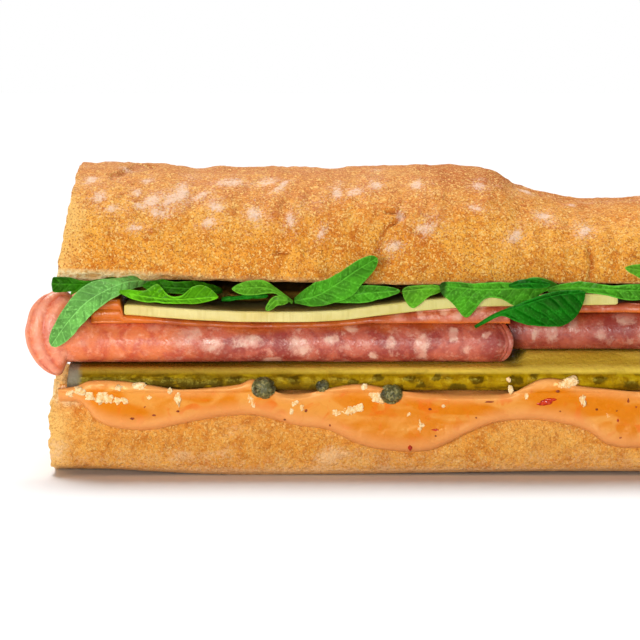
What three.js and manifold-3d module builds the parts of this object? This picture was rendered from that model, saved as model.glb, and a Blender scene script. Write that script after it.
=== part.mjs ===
// Deli sandwich: a length of crusty baguette, split and filled with spicy sauce, capers, gherkin slices,
// folded salami, sliced cheese and rocket. Millimetres, +Z up, X along the loaf, the shown side towards -Y.
import * as THREE from "three";
import { mergeVertices } from "three/addons/utils/BufferGeometryUtils.js";
import Module from "manifold-3d";

const wasm = await Module();
wasm.setup();

// ---- driving sizes ---------------------------------------------------------------------------------
const LOAF_WIDTH = 69; // across the crust
const LOWER_RIM = 18.6; // height of the lower half's cut edge
const CREST = 70.3; // highest point of the upper half
const LAYER_DOME = 2; // the filling lies this much higher on the loaf's centre line
const FILLING_HALF = 36; // the filling's half width
const GAP = 0.35; // kept between two pieces that touch
const SAUCE_THICK = 1.6;
const PICKLE_THICK = 4.6;
const SALAMI_THICK = 1.2;
const CHEESE_THICK = 2.4;
const LEAF_THICK = 0.5;

// Heights of the layers at the filling's edge, each on the one below.
const SAUCE_BASE = LOWER_RIM + GAP;
const PICKLE_BASE = SAUCE_BASE + SAUCE_THICK + GAP;
const SALAMI_BASE = PICKLE_BASE + PICKLE_THICK + GAP;
const RIGHT_LIFT = 2.3; // the right half of the filling is stacked this much higher
const LIFT_FROM = 0.7; // along the loaf, where the gherkins start to rise
const LIFT_TO = 4.2;

// ---- helpers ---------------------------------------------------------------------------------------
const lerp = THREE.MathUtils.lerp;
const smooth = THREE.MathUtils.smoothstep;

// A smooth curve through [position, value] knots in rising order, level beyond both ends.
function profile(knots) {
  const slope = knots.map((_, i) => {
    const a = knots[Math.max(i - 1, 0)];
    const b = knots[Math.min(i + 1, knots.length - 1)];
    return (b[1] - a[1]) / (b[0] - a[0]);
  });
  return (x) => {
    if (x <= knots[0][0]) return knots[0][1];
    if (x >= knots.at(-1)[0]) return knots.at(-1)[1];
    const i = knots.findIndex((k) => k[0] > x) - 1;
    const [x0, v0] = knots[i];
    const [x1, v1] = knots[i + 1];
    const h = x1 - x0;
    const t = (x - x0) / h;
    const rise = v1 - v0;
    const first = slope[i] * h - rise;
    const last = rise - slope[i + 1] * h;
    return v0 + rise * t + t * (1 - t) * (first * (1 - t) + last * t);
  };
}

// Values at even steps of t from 0 to 1, joined smoothly.
function evenly(values) {
  return profile(values.map((v, i) => [i / (values.length - 1), v]));
}

// Uneven relief between about -1 and 1, the same at each run.
function relief(x, y, z) {
  const broad = Math.sin(0.21 * x + 1.3) * Math.cos(0.17 * y + 0.23 * z);
  const middling = Math.sin(0.53 * x + 0.31 * y + 2.1) * Math.sin(0.42 * z + 0.7);
  const small = Math.sin(1.17 * x - 0.71 * y) * Math.cos(0.9 * z + 0.5 * y);
  return 0.45 * broad + 0.33 * middling + 0.22 * small;
}

// A closed mesh from points and triangles, turned so that its faces point out.
function solidGeometry(points, triangles) {
  let volume = 0;
  for (const [a, b, c] of triangles) {
    volume += new THREE.Vector3(...points[a]).dot(
      new THREE.Vector3(...points[b]).cross(new THREE.Vector3(...points[c])),
    );
  }
  const facing = volume < 0 ? triangles.map(([a, b, c]) => [a, c, b]) : triangles;
  const geometry = new THREE.BufferGeometry();
  geometry.setAttribute("position", new THREE.Float32BufferAttribute(points.flat(), 3));
  geometry.setIndex(facing.flat());
  return geometry;
}

// The solid inside a row of closed rings, each with the same number of points, capped at both ends.
// A ring that folds round a thin sheet is capped across the sheet, any other from its middle.
function loft(rings, folded = false) {
  const n = rings[0].length;
  const points = rings.flat();
  const triangles = [];
  for (let k = 0; k + 1 < rings.length; k++) {
    for (let i = 0; i < n; i++) {
      const j = (i + 1) % n;
      const [a, b, c, d] = [k * n + i, k * n + j, (k + 1) * n + j, (k + 1) * n + i];
      const shorter = apart(points[a], points[c]) <= apart(points[b], points[d]);
      triangles.push(...(shorter ? [[a, b, c], [a, c, d]] : [[a, b, d], [b, c, d]]));
    }
  }
  for (const k of [0, rings.length - 1]) {
    const cap = folded ? capAcross(n) : capFromMiddle(n, points.length - k * n);
    if (!folded) points.push(middleOf(rings[k]));
    for (const face of cap) {
      const placed = face.map((i) => k * n + i);
      triangles.push(k === 0 ? placed.reverse() : placed);
    }
  }
  return solidGeometry(points, triangles);
}

function apart(p, q) {
  return Math.hypot(p[0] - q[0], p[1] - q[1], p[2] - q[2]);
}

function middleOf(ring) {
  return [0, 1, 2].map((axis) => ring.reduce((sum, p) => sum + p[axis], 0) / ring.length);
}

function capFromMiddle(n, middle) {
  return Array.from({ length: n }, (_, i) => [i, (i + 1) % n, middle]);
}

function capAcross(n) {
  const faces = [];
  for (let i = 0; i + 1 < n / 2; i++) {
    const [a, b, c, d] = [i, i + 1, n - 2 - i, n - 1 - i];
    faces.push([a, b, d]);
    if (b !== c) faces.push([b, c, d]);
  }
  return faces;
}

// Shrunken copies of an end ring, set along X by an uneven amount, so that a cut end has crags.
function cutFace(ring, shares, depth) {
  const middle = middleOf(ring);
  return shares.map((share) =>
    ring.map(([x, y, z]) => {
      const py = lerp(middle[1], y, share);
      const pz = lerp(middle[2], z, share);
      return [x + depth * relief(9 * py, 5 * py, 7 * pz), py, pz];
    }),
  );
}

// A ring of even thickness along a line in the YZ plane, as [y, z] points.
function thickLine(line, thickness) {
  const sides = line.map((p, i) => {
    const a = line[Math.max(i - 1, 0)];
    const b = line[Math.min(i + 1, line.length - 1)];
    const length = Math.hypot(b[0] - a[0], b[1] - a[1]);
    const [ny, nz] = [-(b[1] - a[1]) / length, (b[0] - a[0]) / length];
    const half = thickness / 2;
    return [[p[0] + ny * half, p[1] + nz * half], [p[0] - ny * half, p[1] - nz * half]];
  });
  return [...sides.map((s) => s[0]), ...sides.map((s) => s[1]).reverse()];
}

function steps(count, from, to) {
  return Array.from({ length: count + 1 }, (_, i) => lerp(from, to, i / count));
}

function toSolid(geometry) {
  const bare = geometry.clone();
  bare.deleteAttribute("normal");
  bare.deleteAttribute("uv");
  const merged = mergeVertices(bare, 1e-4);
  return new wasm.Manifold(
    new wasm.Mesh({
      numProp: 3,
      vertProperties: merged.attributes.position.array,
      triVerts: new Uint32Array(merged.index.array),
    }),
  );
}

// The largest body of a solid as a geometry, which drops loose scraps that a cut leaves.
function toGeometry(solid) {
  const [largest] = solid.decompose().sort((a, b) => b.volume() - a.volume());
  const mesh = largest.getMesh();
  const geometry = new THREE.BufferGeometry();
  geometry.setAttribute("position", new THREE.BufferAttribute(mesh.vertProperties, 3));
  geometry.setIndex(new THREE.BufferAttribute(mesh.triVerts, 1));
  return geometry;
}

// ---- the stack of layers ---------------------------------------------------------------------------
// How much higher a layer lies at y than at the filling's edge.
function dome(y) {
  return LAYER_DOME * (1 - Math.min(1, Math.abs(y) / FILLING_HALF) ** 2.2);
}

// The cheese's middle height along the loaf: it sags on the left and rides over the higher salami on
// the right.
const cheeseMiddle = profile([
  [-103, 38.6], [-88, 38.5], [-75, 37.5], [-61, 36.9], [-48, 36.9], [-39, 37.3],
  [-30, 38.3], [-20, 39.4], [-7, 40.4], [10, 40.6], [24, 40.9], [60, 40.7], [103, 40.1],
]);

// The cut edge of the upper half along the loaf.
const upperRim = profile([
  [-105, 46.9], [-88, 46.6], [-75, 46.1], [-60, 45.2], [-45, 44.8], [-30, 44.2],
  [-22, 43.9], [0, 44.2], [60, 44.3], [105, 45.2],
]);

// The crumb between the crusts hangs below the cut edge on the left and stands above it on the right.
const crumbSag = profile([[-60, 1.2], [-20, 0.2], [5, -0.5], [105, -0.3]]);

function pickleTop(x, y) {
  const raised = RIGHT_LIFT * smooth(x, LIFT_FROM, LIFT_TO) * smooth(-Math.abs(y), -36, -28);
  return PICKLE_BASE + PICKLE_THICK + dome(y) + raised;
}

// ---- bread -----------------------------------------------------------------------------------------
const UPPER_CREST = profile([
  [-99, CREST - 0.1], [-80, CREST - 0.7], [-72, CREST - 1.8], [-66, CREST - 0.9], [-40, CREST - 1.3],
  [-24, CREST - 0.7], [-6, CREST - 1.2], [-1.6, CREST - 2.2], [2.5, CREST - 4.9], [10, CREST - 7.1],
  [18, CREST - 8.7], [31, CREST - 8], [50, CREST - 6.1], [72, CREST - 5.2], [90, CREST - 6.2],
  [102, CREST - 7.8],
]);
const UPPER_LEFT_LEAN = { foot: -103.4, head: -99.4 };
const UPPER_RIGHT_LEAN = { foot: 102.6, head: 98.4 };
const LOWER_ENDS = { left: -105.2, right: 104.6 };

const CRUST_STEPS = 20; // over the crust of the upper half
const CRUMB_STEPS = 8; // under its crumb
const FULLNESS = 2 / 2.35; // a superellipse, a little fuller than round
const CRUST_EDGE = 0.8; // the crust's thickness at the cut
const CRAG_SHARES = [0.4, 0.75]; // rings across a broken end, as shares of its size
const UPPER_CRAG = 0.9; // how far the crags of a broken end stand out
const LOWER_CRAG = 0.8;

function breadUpper() {
  const rings = steps(26, 0, 1).map((u) => {
    const middle = lerp(-100, 100, u);
    const rim = upperRim(middle);
    const rise = UPPER_CREST(middle) - rim;
    const half = (LOAF_WIDTH / 2) * (1 - 0.025 * relief(middle, 3, 5));
    const place = (y, z) => {
      const up = (z - rim) / rise;
      const left = lerp(UPPER_LEFT_LEAN.foot, UPPER_LEFT_LEAN.head, up) + 0.7 * relief(5, 3 * y, 4 * z);
      const right = lerp(UPPER_RIGHT_LEAN.foot, UPPER_RIGHT_LEAN.head, up) + 0.7 * relief(8, 4 * y, 3 * z);
      return [lerp(left, right, u), y, z];
    };
    const crust = steps(CRUST_STEPS, 0, Math.PI).map((angle) => {
      const across = Math.sign(Math.cos(angle)) * Math.abs(Math.cos(angle)) ** FULLNESS;
      const up = Math.sin(angle) ** FULLNESS;
      const swell = 1 + 0.012 * Math.min(1, 3 * up) * relief(middle, 9 * angle, 4);
      return place(-half * across * swell, rim + rise * up * swell);
    });
    const cut = steps(CRUMB_STEPS, 1, -1).slice(1, -1).map((share) => {
      const sag = crumbSag(middle) * (1 - share ** 6);
      return place(share * (half - CRUST_EDGE), rim - sag);
    });
    return [...crust, ...cut];
  });
  const left = cutFace(rings[0], CRAG_SHARES, UPPER_CRAG);
  const right = cutFace(rings.at(-1), CRAG_SHARES.toReversed(), UPPER_CRAG);
  return loft([...left, ...rings, ...right]);
}

// Half of the lower crust's outline, from the flat underside to the cut edge, as [y, z].
const FOOT_HALF = 29.5;
const CUT_HALF = 32.6;
const LOWER_SIDE = [
  [FOOT_HALF, 0], [32, 1], [33.6, 3.6], [34.4, 7.4], [34.5, 11], [34.1, 14.8], [33.2, 17.6],
];

function breadLower() {
  const rings = steps(23, 0, 1).map((u) => {
    const middle = lerp(LOWER_ENDS.left, LOWER_ENDS.right, u);
    const place = ([y, z]) => {
      const left = LOWER_ENDS.left + 0.8 * relief(3, 2 * y, 5 * z) + 0.9 * smooth(z, 14, 21);
      const right = LOWER_ENDS.right + 0.8 * relief(6, 3 * y, 4 * z) - 0.9 * smooth(z, 14, 21);
      return [lerp(left, right, u), y, z];
    };
    const side = (sign) =>
      LOWER_SIDE.map(([y, z]) => {
        const swell = 0.45 * smooth(z, 0.5, 5) * relief(middle, 40 * sign, 3 * z);
        return [sign * (y + swell), z];
      });
    const cut = steps(8, -CUT_HALF, CUT_HALF).map((y) => [y, LOWER_RIM + dome(y)]);
    const base = steps(6, FOOT_HALF, -FOOT_HALF).slice(1, -1).map((y) => [y, 0]);
    return [...side(-1), ...cut, ...side(1).reverse(), ...base].map(place);
  });
  const left = cutFace(rings[0], CRAG_SHARES, LOWER_CRAG);
  const right = cutFace(rings.at(-1), CRAG_SHARES.toReversed(), LOWER_CRAG);
  return loft([...left, ...rings, ...right]);
}

// ---- sauce, with the drips that run down both sides of the lower crust ----------------------------------
const FRONT_DRIP = profile([
  [-103, 18], [-98, 16.6], [-94, 12.6], [-88, 10.9], [-82, 10.8], [-74, 12.4], [-66, 13.8],
  [-58, 14], [-49, 11.8], [-42, 10.8], [-34, 7.2], [-25, 5.8], [-18, 6.2], [-10, 10],
  [-4, 12.3], [3, 13.1], [10, 12.5], [17, 10.7], [22, 7.4], [29, 6.6], [36, 8.8],
  [44, 13.6], [52, 14.2], [60, 11.2], [67, 8.4], [74, 9.2], [82, 12.8], [90, 11.6],
  [97, 13.6], [102.5, 18],
]);
const BACK_DRIP = profile([
  [-102.5, 18], [-95, 13.4], [-86, 9.4], [-76, 8.2], [-66, 11.4], [-56, 14.2], [-44, 13.6],
  [-34, 10.2], [-26, 9.8], [-16, 13.2], [-4, 14.4], [6, 11.6], [16, 7.2], [26, 6.6],
  [36, 10.8], [46, 13.8], [58, 14.2], [68, 11.4], [78, 9.8], [88, 12.6], [96, 14.8], [102.5, 18],
]);
const CRUST_CLEARANCE = 0.75; // from the smooth crust to the drip's inner face

// The smooth lower crust's half width at a height.
const lowerSideAt = profile(LOWER_SIDE.map(([y, z]) => [z, y]));

function sauceLoft() {
  return loft(
    steps(27, -103, 102.6).map((x) => {
      const wall = (drip, sign) => {
        const lip = Math.min(drip(x), LOWER_RIM - 1.4);
        const at = (z, thick) => [sign * (lowerSideAt(z) + CRUST_CLEARANCE + thick), z];
        return {
          outer: [at(lip + 0.6, 1), at(lerp(lip, LOWER_RIM, 0.4) + 0.6, 1.6), at(LOWER_RIM - 0.4, 1.1)],
          inner: [at(lip, 0), at(lerp(lip, LOWER_RIM, 0.5), 0), at(LOWER_RIM - 0.8, 0)],
        };
      };
      const front = wall(FRONT_DRIP, -1);
      const back = wall(BACK_DRIP, 1);
      const level = (height) => steps(4, -33, 33).map((y) => [y, height + dome(y)]);
      const ring = [
        ...front.outer, ...level(SAUCE_BASE + SAUCE_THICK), ...back.outer.reverse(),
        ...back.inner, ...level(SAUCE_BASE).reverse(), ...front.inner.reverse(),
      ];
      return ring.map(([y, z]) => [x, y, z]);
    }),
    true,
  );
}

// A small lump, such as a caper or a chilli flake, of given centre and half sizes.
function lump(centre, half, detail = 1, unevenness = 0.08) {
  const geometry = mergeVertices(bareOf(new THREE.IcosahedronGeometry(1, detail)), 1e-4);
  const position = geometry.attributes.position;
  for (let i = 0; i < position.count; i++) {
    const [x, y, z] = [position.getX(i), position.getY(i), position.getZ(i)];
    const swell = 1 + unevenness * relief(9 * x + centre[0], 8 * y, 7 * z);
    position.setXYZ(
      i,
      centre[0] + half[0] * swell * x,
      centre[1] + half[1] * swell * y,
      centre[2] + half[2] * swell * z,
    );
  }
  return geometry;
}

function bareOf(geometry) {
  geometry.deleteAttribute("normal");
  geometry.deleteAttribute("uv");
  return geometry;
}

// Chilli flakes and bread crumbs that lie on the drips, as [x, height, half length, half height].
const FLAKES = [
  [7.7, 17.3, 2.1, 1.1], [24.3, 10.6, 1, 0.9], [-21.5, 7.9, 1, 0.7], [62, 14.2, 1.8, 1],
  [-95.5, 18.2, 1.6, 1.1], [-91, 16.6, 2.2, 1.3], [-36, 15.4, 1.6, 0.9], [-20.7, 12.2, 1.2, 1],
];

function sauce() {
  const drips = toSolid(sauceLoft());
  const flakes = FLAKES.map(([x, z, long, high]) =>
    toSolid(lump([x, -(lowerSideAt(z) + CRUST_CLEARANCE + 1.2), z], [long, 1, high], 0, 0)),
  );
  return wasm.Manifold.union([drips, ...flakes]);
}

// ---- capers, half sunk between the sauce and the gherkins ---------------------------------------------
const CAPERS = {
  caper_front_left: [[-56.4, -38.9, 20.8], 2.6],
  caper_front_middle: [[-27.4, -38.6, 19.4], 2.4],
  caper_front_small: [[-43, -38.6, 21.2], 1.5],
  caper_front_right: [[52, -38.6, 20.2], 2.9],
  caper_front_far_right: [[83.5, -38.4, 19.6], 2.6],
  caper_back_left: [[-58, 38.6, 19.8], 2.9],
  caper_back_right: [[37, 38.8, 20.4], 3],
};

function caper([centre, radius]) {
  return toSolid(lump(centre, [radius * 1.08, radius, radius], 1));
}

// ---- gherkin slices --------------------------------------------------------------------------------
const INNER_EDGE = 1.8; // the slices of the two sides stop this far from the loaf's middle
const SKIN = 38.6; // out to the gherkin's skin
const SKIN_BUMP = 0.28;
const END_SLANT = 0.12; // of a slice's cut ends

// A long slice between two ends, its skin side out, on the side of the loaf that sign gives.
function pickleSlice(from, to, sign) {
  const stations = [...steps(10, from, to), LIFT_FROM, LIFT_TO]
    .filter((x) => x >= from && x <= to)
    .sort((a, b) => a - b);
  return loft(
    stations.map((x, i) => {
      const skin = SKIN + SKIN_BUMP * relief(4 * x, 0, 3 * sign);
      const under = (y) => [y, PICKLE_BASE + dome(y)];
      const top = (y) => [y, pickleTop(x, y)];
      const ring = [
        under(INNER_EDGE), under(18), under(33.2), [36.2, 19.8], [skin - 0.4, 20.4], [skin, 22.2],
        [skin - 0.5, 24], [36.6, pickleTop(x, 36) - 0.5], top(33.5), top(28), top(18), top(INNER_EDGE),
      ];
      const end = i === 0 ? -1 : i === stations.length - 1 ? 1 : 0;
      return ring.map(([y, z]) => [x + end * END_SLANT * (22 - z), sign * y, z]);
    }),
    true,
  );
}

const PICKLES = {
  gherkin_front_left: [-101.1, 32.6, -1],
  gherkin_front_right: [34.4, 101.2, -1],
  gherkin_back_left: [-99.4, -29.6, 1],
  gherkin_back_right: [-27.6, 100.8, 1],
};

// ---- salami: each slice is folded over, with its fold to the outside ----------------------------------
const LAYER_STEP = SALAMI_THICK + 0.3;
const ARC = steps(5, -80, 80).map(THREE.MathUtils.degToRad);
const UNDER_FOLD = [1.6, 20]; // where the flat parts of a slice lie, out from the loaf's middle
const OVER_FOLD = [24, 1.6];

// A folded slice; nest is 0 for the outer slice and 1 for the one inside its fold.
// Of an end, open is how far the fold rises there, hang how far it drops, curve how round its edge is,
// and inset how far the inner slice stays inside.
function foldedSlice({ from, to, sign, lift, fold, radius, left, right, nest }) {
  const base = SALAMI_BASE + lift + SALAMI_THICK / 2;
  const floor = (y) => base + nest * LAYER_STEP + dome(y);
  const roof = (y) => base + (3 - nest) * LAYER_STEP + dome(y);
  const bend = radius - SALAMI_THICK / 2 - nest * LAYER_STEP;
  const centre = fold - radius;
  const count = UNDER_FOLD.length + ARC.length + OVER_FOLD.length;
  const pointAt = (i, x) => {
    const opening =
      (1 - 0.4 * nest) *
      (left.open * smooth(-x, -(from + 17), -(from + 7)) + right.open * smooth(x, to - 17, to - 7));
    const hang =
      (1 - nest) *
      (left.hang * smooth(-x, -(from + 9.2), -(from + 7.2)) + right.hang * smooth(x, to - 9.2, to - 7.2));
    if (i < UNDER_FOLD.length) return [UNDER_FOLD[i], floor(UNDER_FOLD[i])];
    if (i > count - 3) {
      const y = OVER_FOLD[i - count + 2];
      return [y, roof(y) + (i < count - 1 ? 0.25 + 0.3 * opening : 0)];
    }
    const angle = ARC[i - 2];
    const high = 2 * bend * (0.5 + 0.5 * Math.sin(angle));
    const z = floor(centre) + high + opening * smooth(angle, -1, 0.9) - hang * smooth(-angle, -0.6, 1.2);
    return [centre + bend * Math.cos(angle) * (1 + 0.05 * opening), z];
  };
  return loft(
    [0, 0.024, 0.08, 0.18, 0.5, 0.82, 0.976, 1].map((u) => {
      const line = Array.from({ length: count }, (_, i) => {
        const away = Math.abs(i - (count - 1) / 2) / ((count - 1) / 2);
        const short = 12 * (1 - Math.exp(-2.6 * away ** 1.8));
        const start = from + left.inset * nest + short * left.curve;
        const stop = to - right.inset * nest - short * right.curve;
        const x = lerp(start, stop, u);
        return [x, ...pointAt(i, x)];
      });
      const ring = thickLine(line.map((p) => [p[1], p[2]]), SALAMI_THICK);
      return ring.map(([y, z], i) => [line[i < count ? i : 2 * count - 1 - i][0], sign * y, z]);
    }),
    true,
  );
}

const PLAIN_END = { open: 0, hang: 0, curve: 0.3, inset: 1.4 };
const HIDDEN_END = { open: 0, hang: 0, curve: 0.05, inset: 0.6 }; // where a slice runs up to the next fold
const FOLDS = {
  salami_front_left: {
    from: -110.4, to: 0.4, sign: -1, lift: 0, fold: 37.4, radius: 4.6,
    left: { open: 7.6, hang: 3.2, curve: 1, inset: 1.4 }, right: { ...PLAIN_END, inset: 0.2 },
  },
  salami_front_right: {
    from: 1, to: 107.4, sign: -1, lift: RIGHT_LIFT, fold: 33.6, radius: 4.3,
    left: HIDDEN_END, right: { open: 1, hang: 0, curve: 1, inset: 1.4 },
  },
  salami_back_left: {
    from: -107, to: -0.6, sign: 1, lift: 0, fold: 36.8, radius: 4.6,
    left: { open: 3, hang: 0, curve: 1, inset: 1.4 }, right: PLAIN_END,
  },
  salami_back_right: {
    from: 0, to: 110.4, sign: 1, lift: RIGHT_LIFT, fold: 34.4, radius: 4.3,
    left: HIDDEN_END, right: { open: 1.6, hang: 0, curve: 1, inset: 1.4 },
  },
};

// The upper slices lie between the folds and the cheese. Their rounded edges show above the folds where
// the cheese leaves them room, and stay tucked in elsewhere.
const TUCKED_EDGE = 21.6;
const SHOWN_EDGE = 29.4;
const END_RISE = 3.4; // at the far left, where no cheese presses on them
const LEFT_STATIONS = [-95.6, -92, -89.8, -88.6, -80, -70, -60, -50, -40, -32, -22, -12, -0.4];

function upperSlices(stations, lift, endRise) {
  const base = SALAMI_BASE + LAYER_DOME + SALAMI_THICK + 3 * LAYER_STEP + lift + GAP;
  return loft(
    stations.map((x) => {
      const underCheese = cheeseMiddle(x) - CHEESE_THICK / 2 - GAP;
      const top = underCheese + endRise * smooth(-x, 88.6, 89.8);
      const room = smooth(top - base, 1.4, 3.2);
      const edge = lerp(TUCKED_EDGE, SHOWN_EDGE, room) + 0.5 * relief(2 * x, 0, 2);
      const foot = Math.min(base + 0.42 * (edge - TUCKED_EDGE), top - 0.9);
      const half = [[edge - 1.6, foot], [edge, 0.4 * foot + 0.6 * top], [edge - 1.4, top]];
      const ring = [
        ...half.map(([y, z]) => [-y, z]), [0, top],
        ...half.reverse(), [17, base], [-17, base],
      ];
      return ring.map(([y, z]) => [x, y, z]);
    }),
  );
}

// ---- cheese ----------------------------------------------------------------------------------------
function cheeseSlice(from, to, front, back) {
  const half = CHEESE_THICK / 2;
  return loft(
    steps(12, from, to).map((x) => {
      const z = cheeseMiddle(x);
      const ring = [
        [-front, z - half + 0.1], [-front, z + half - 0.15], [-front + 0.4, z + half],
        [0, z + half], [back - 0.4, z + half], [back, z + half - 0.15], [back, z - half + 0.1], [0, z - half],
      ];
      return ring.map(([y, h]) => [x, y, h]);
    }),
  );
}

// ---- rocket ----------------------------------------------------------------------------------------
// A leaf is a thin sheet round a spine, with its own margin on each side, cupped and waved.
// upper and lower are the margins' distances from the spine at even steps from root to tip.
function leaf({ spine, upper, lower, facing, cup = 0.6, wave = 0.5, rows = 7, columns = 2 }) {
  const curve = new THREE.CatmullRomCurve3(spine.map((p) => new THREE.Vector3(...p)), false, "centripetal");
  const margin = { up: evenly(upper), down: evenly(lower) };
  const normal = new THREE.Vector3(...facing).normalize();
  const faces = [[], []];
  let upward = new THREE.Vector3(0, 0, 1);
  for (const t of steps(rows, 0, 1)) {
    const at = curve.getPoint(t);
    const along = curve.getTangent(t);
    const across = new THREE.Vector3().crossVectors(along, normal).normalize();
    if (across.dot(upward) < 0) across.negate();
    upward = across;
    const out = new THREE.Vector3().crossVectors(across, along).normalize();
    if (out.dot(normal) < 0) out.negate();
    for (const s of steps(columns, -1, 1)) {
      const reach = Math.abs(s) * (s > 0 ? margin.up(t) : margin.down(t));
      const ripple = wave * Math.sin(9 * t + 2.2 * s) * s * s * Math.sin(Math.PI * t);
      const lift = ripple - (cup * reach * reach) / 12;
      const middle = at.clone().addScaledVector(across, Math.sign(s) * reach).addScaledVector(out, lift);
      faces[0].push(middle.clone().addScaledVector(out, LEAF_THICK / 2).toArray());
      faces[1].push(middle.clone().addScaledVector(out, -LEAF_THICK / 2).toArray());
    }
  }
  return solidGeometry([...faces[0], ...faces[1]], sheetTriangles(rows, columns));
}

// Triangles of a thin sheet whose two faces are grids split alike, with its rim closed.
function sheetTriangles(rows, columns) {
  const width = columns + 1;
  const count = (rows + 1) * width;
  const triangles = [];
  for (let r = 0; r < rows; r++) {
    for (let c = 0; c < columns; c++) {
      const [p, q] = [r * width + c, (r + 1) * width + c];
      triangles.push([p, q, p + 1], [q, q + 1, p + 1]);
      triangles.push([p + count, p + 1 + count, q + count], [q + count, p + 1 + count, q + 1 + count]);
    }
  }
  const upTo = (last) => Array.from({ length: last + 1 }, (_, i) => i);
  const rim = [
    ...upTo(columns),
    ...upTo(rows).slice(1).map((r) => r * width + columns),
    ...upTo(columns).reverse().slice(1).map((c) => rows * width + c),
    ...upTo(rows).reverse().slice(1, -1).map((r) => r * width),
  ];
  rim.forEach((a, i) => {
    const b = rim[(i + 1) % rim.length];
    triangles.push([a, b, a + count], [b, b + count, a + count]);
  });
  return triangles;
}

const OUT = [0, -1, 0.25]; // towards the shown side and a little up

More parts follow.
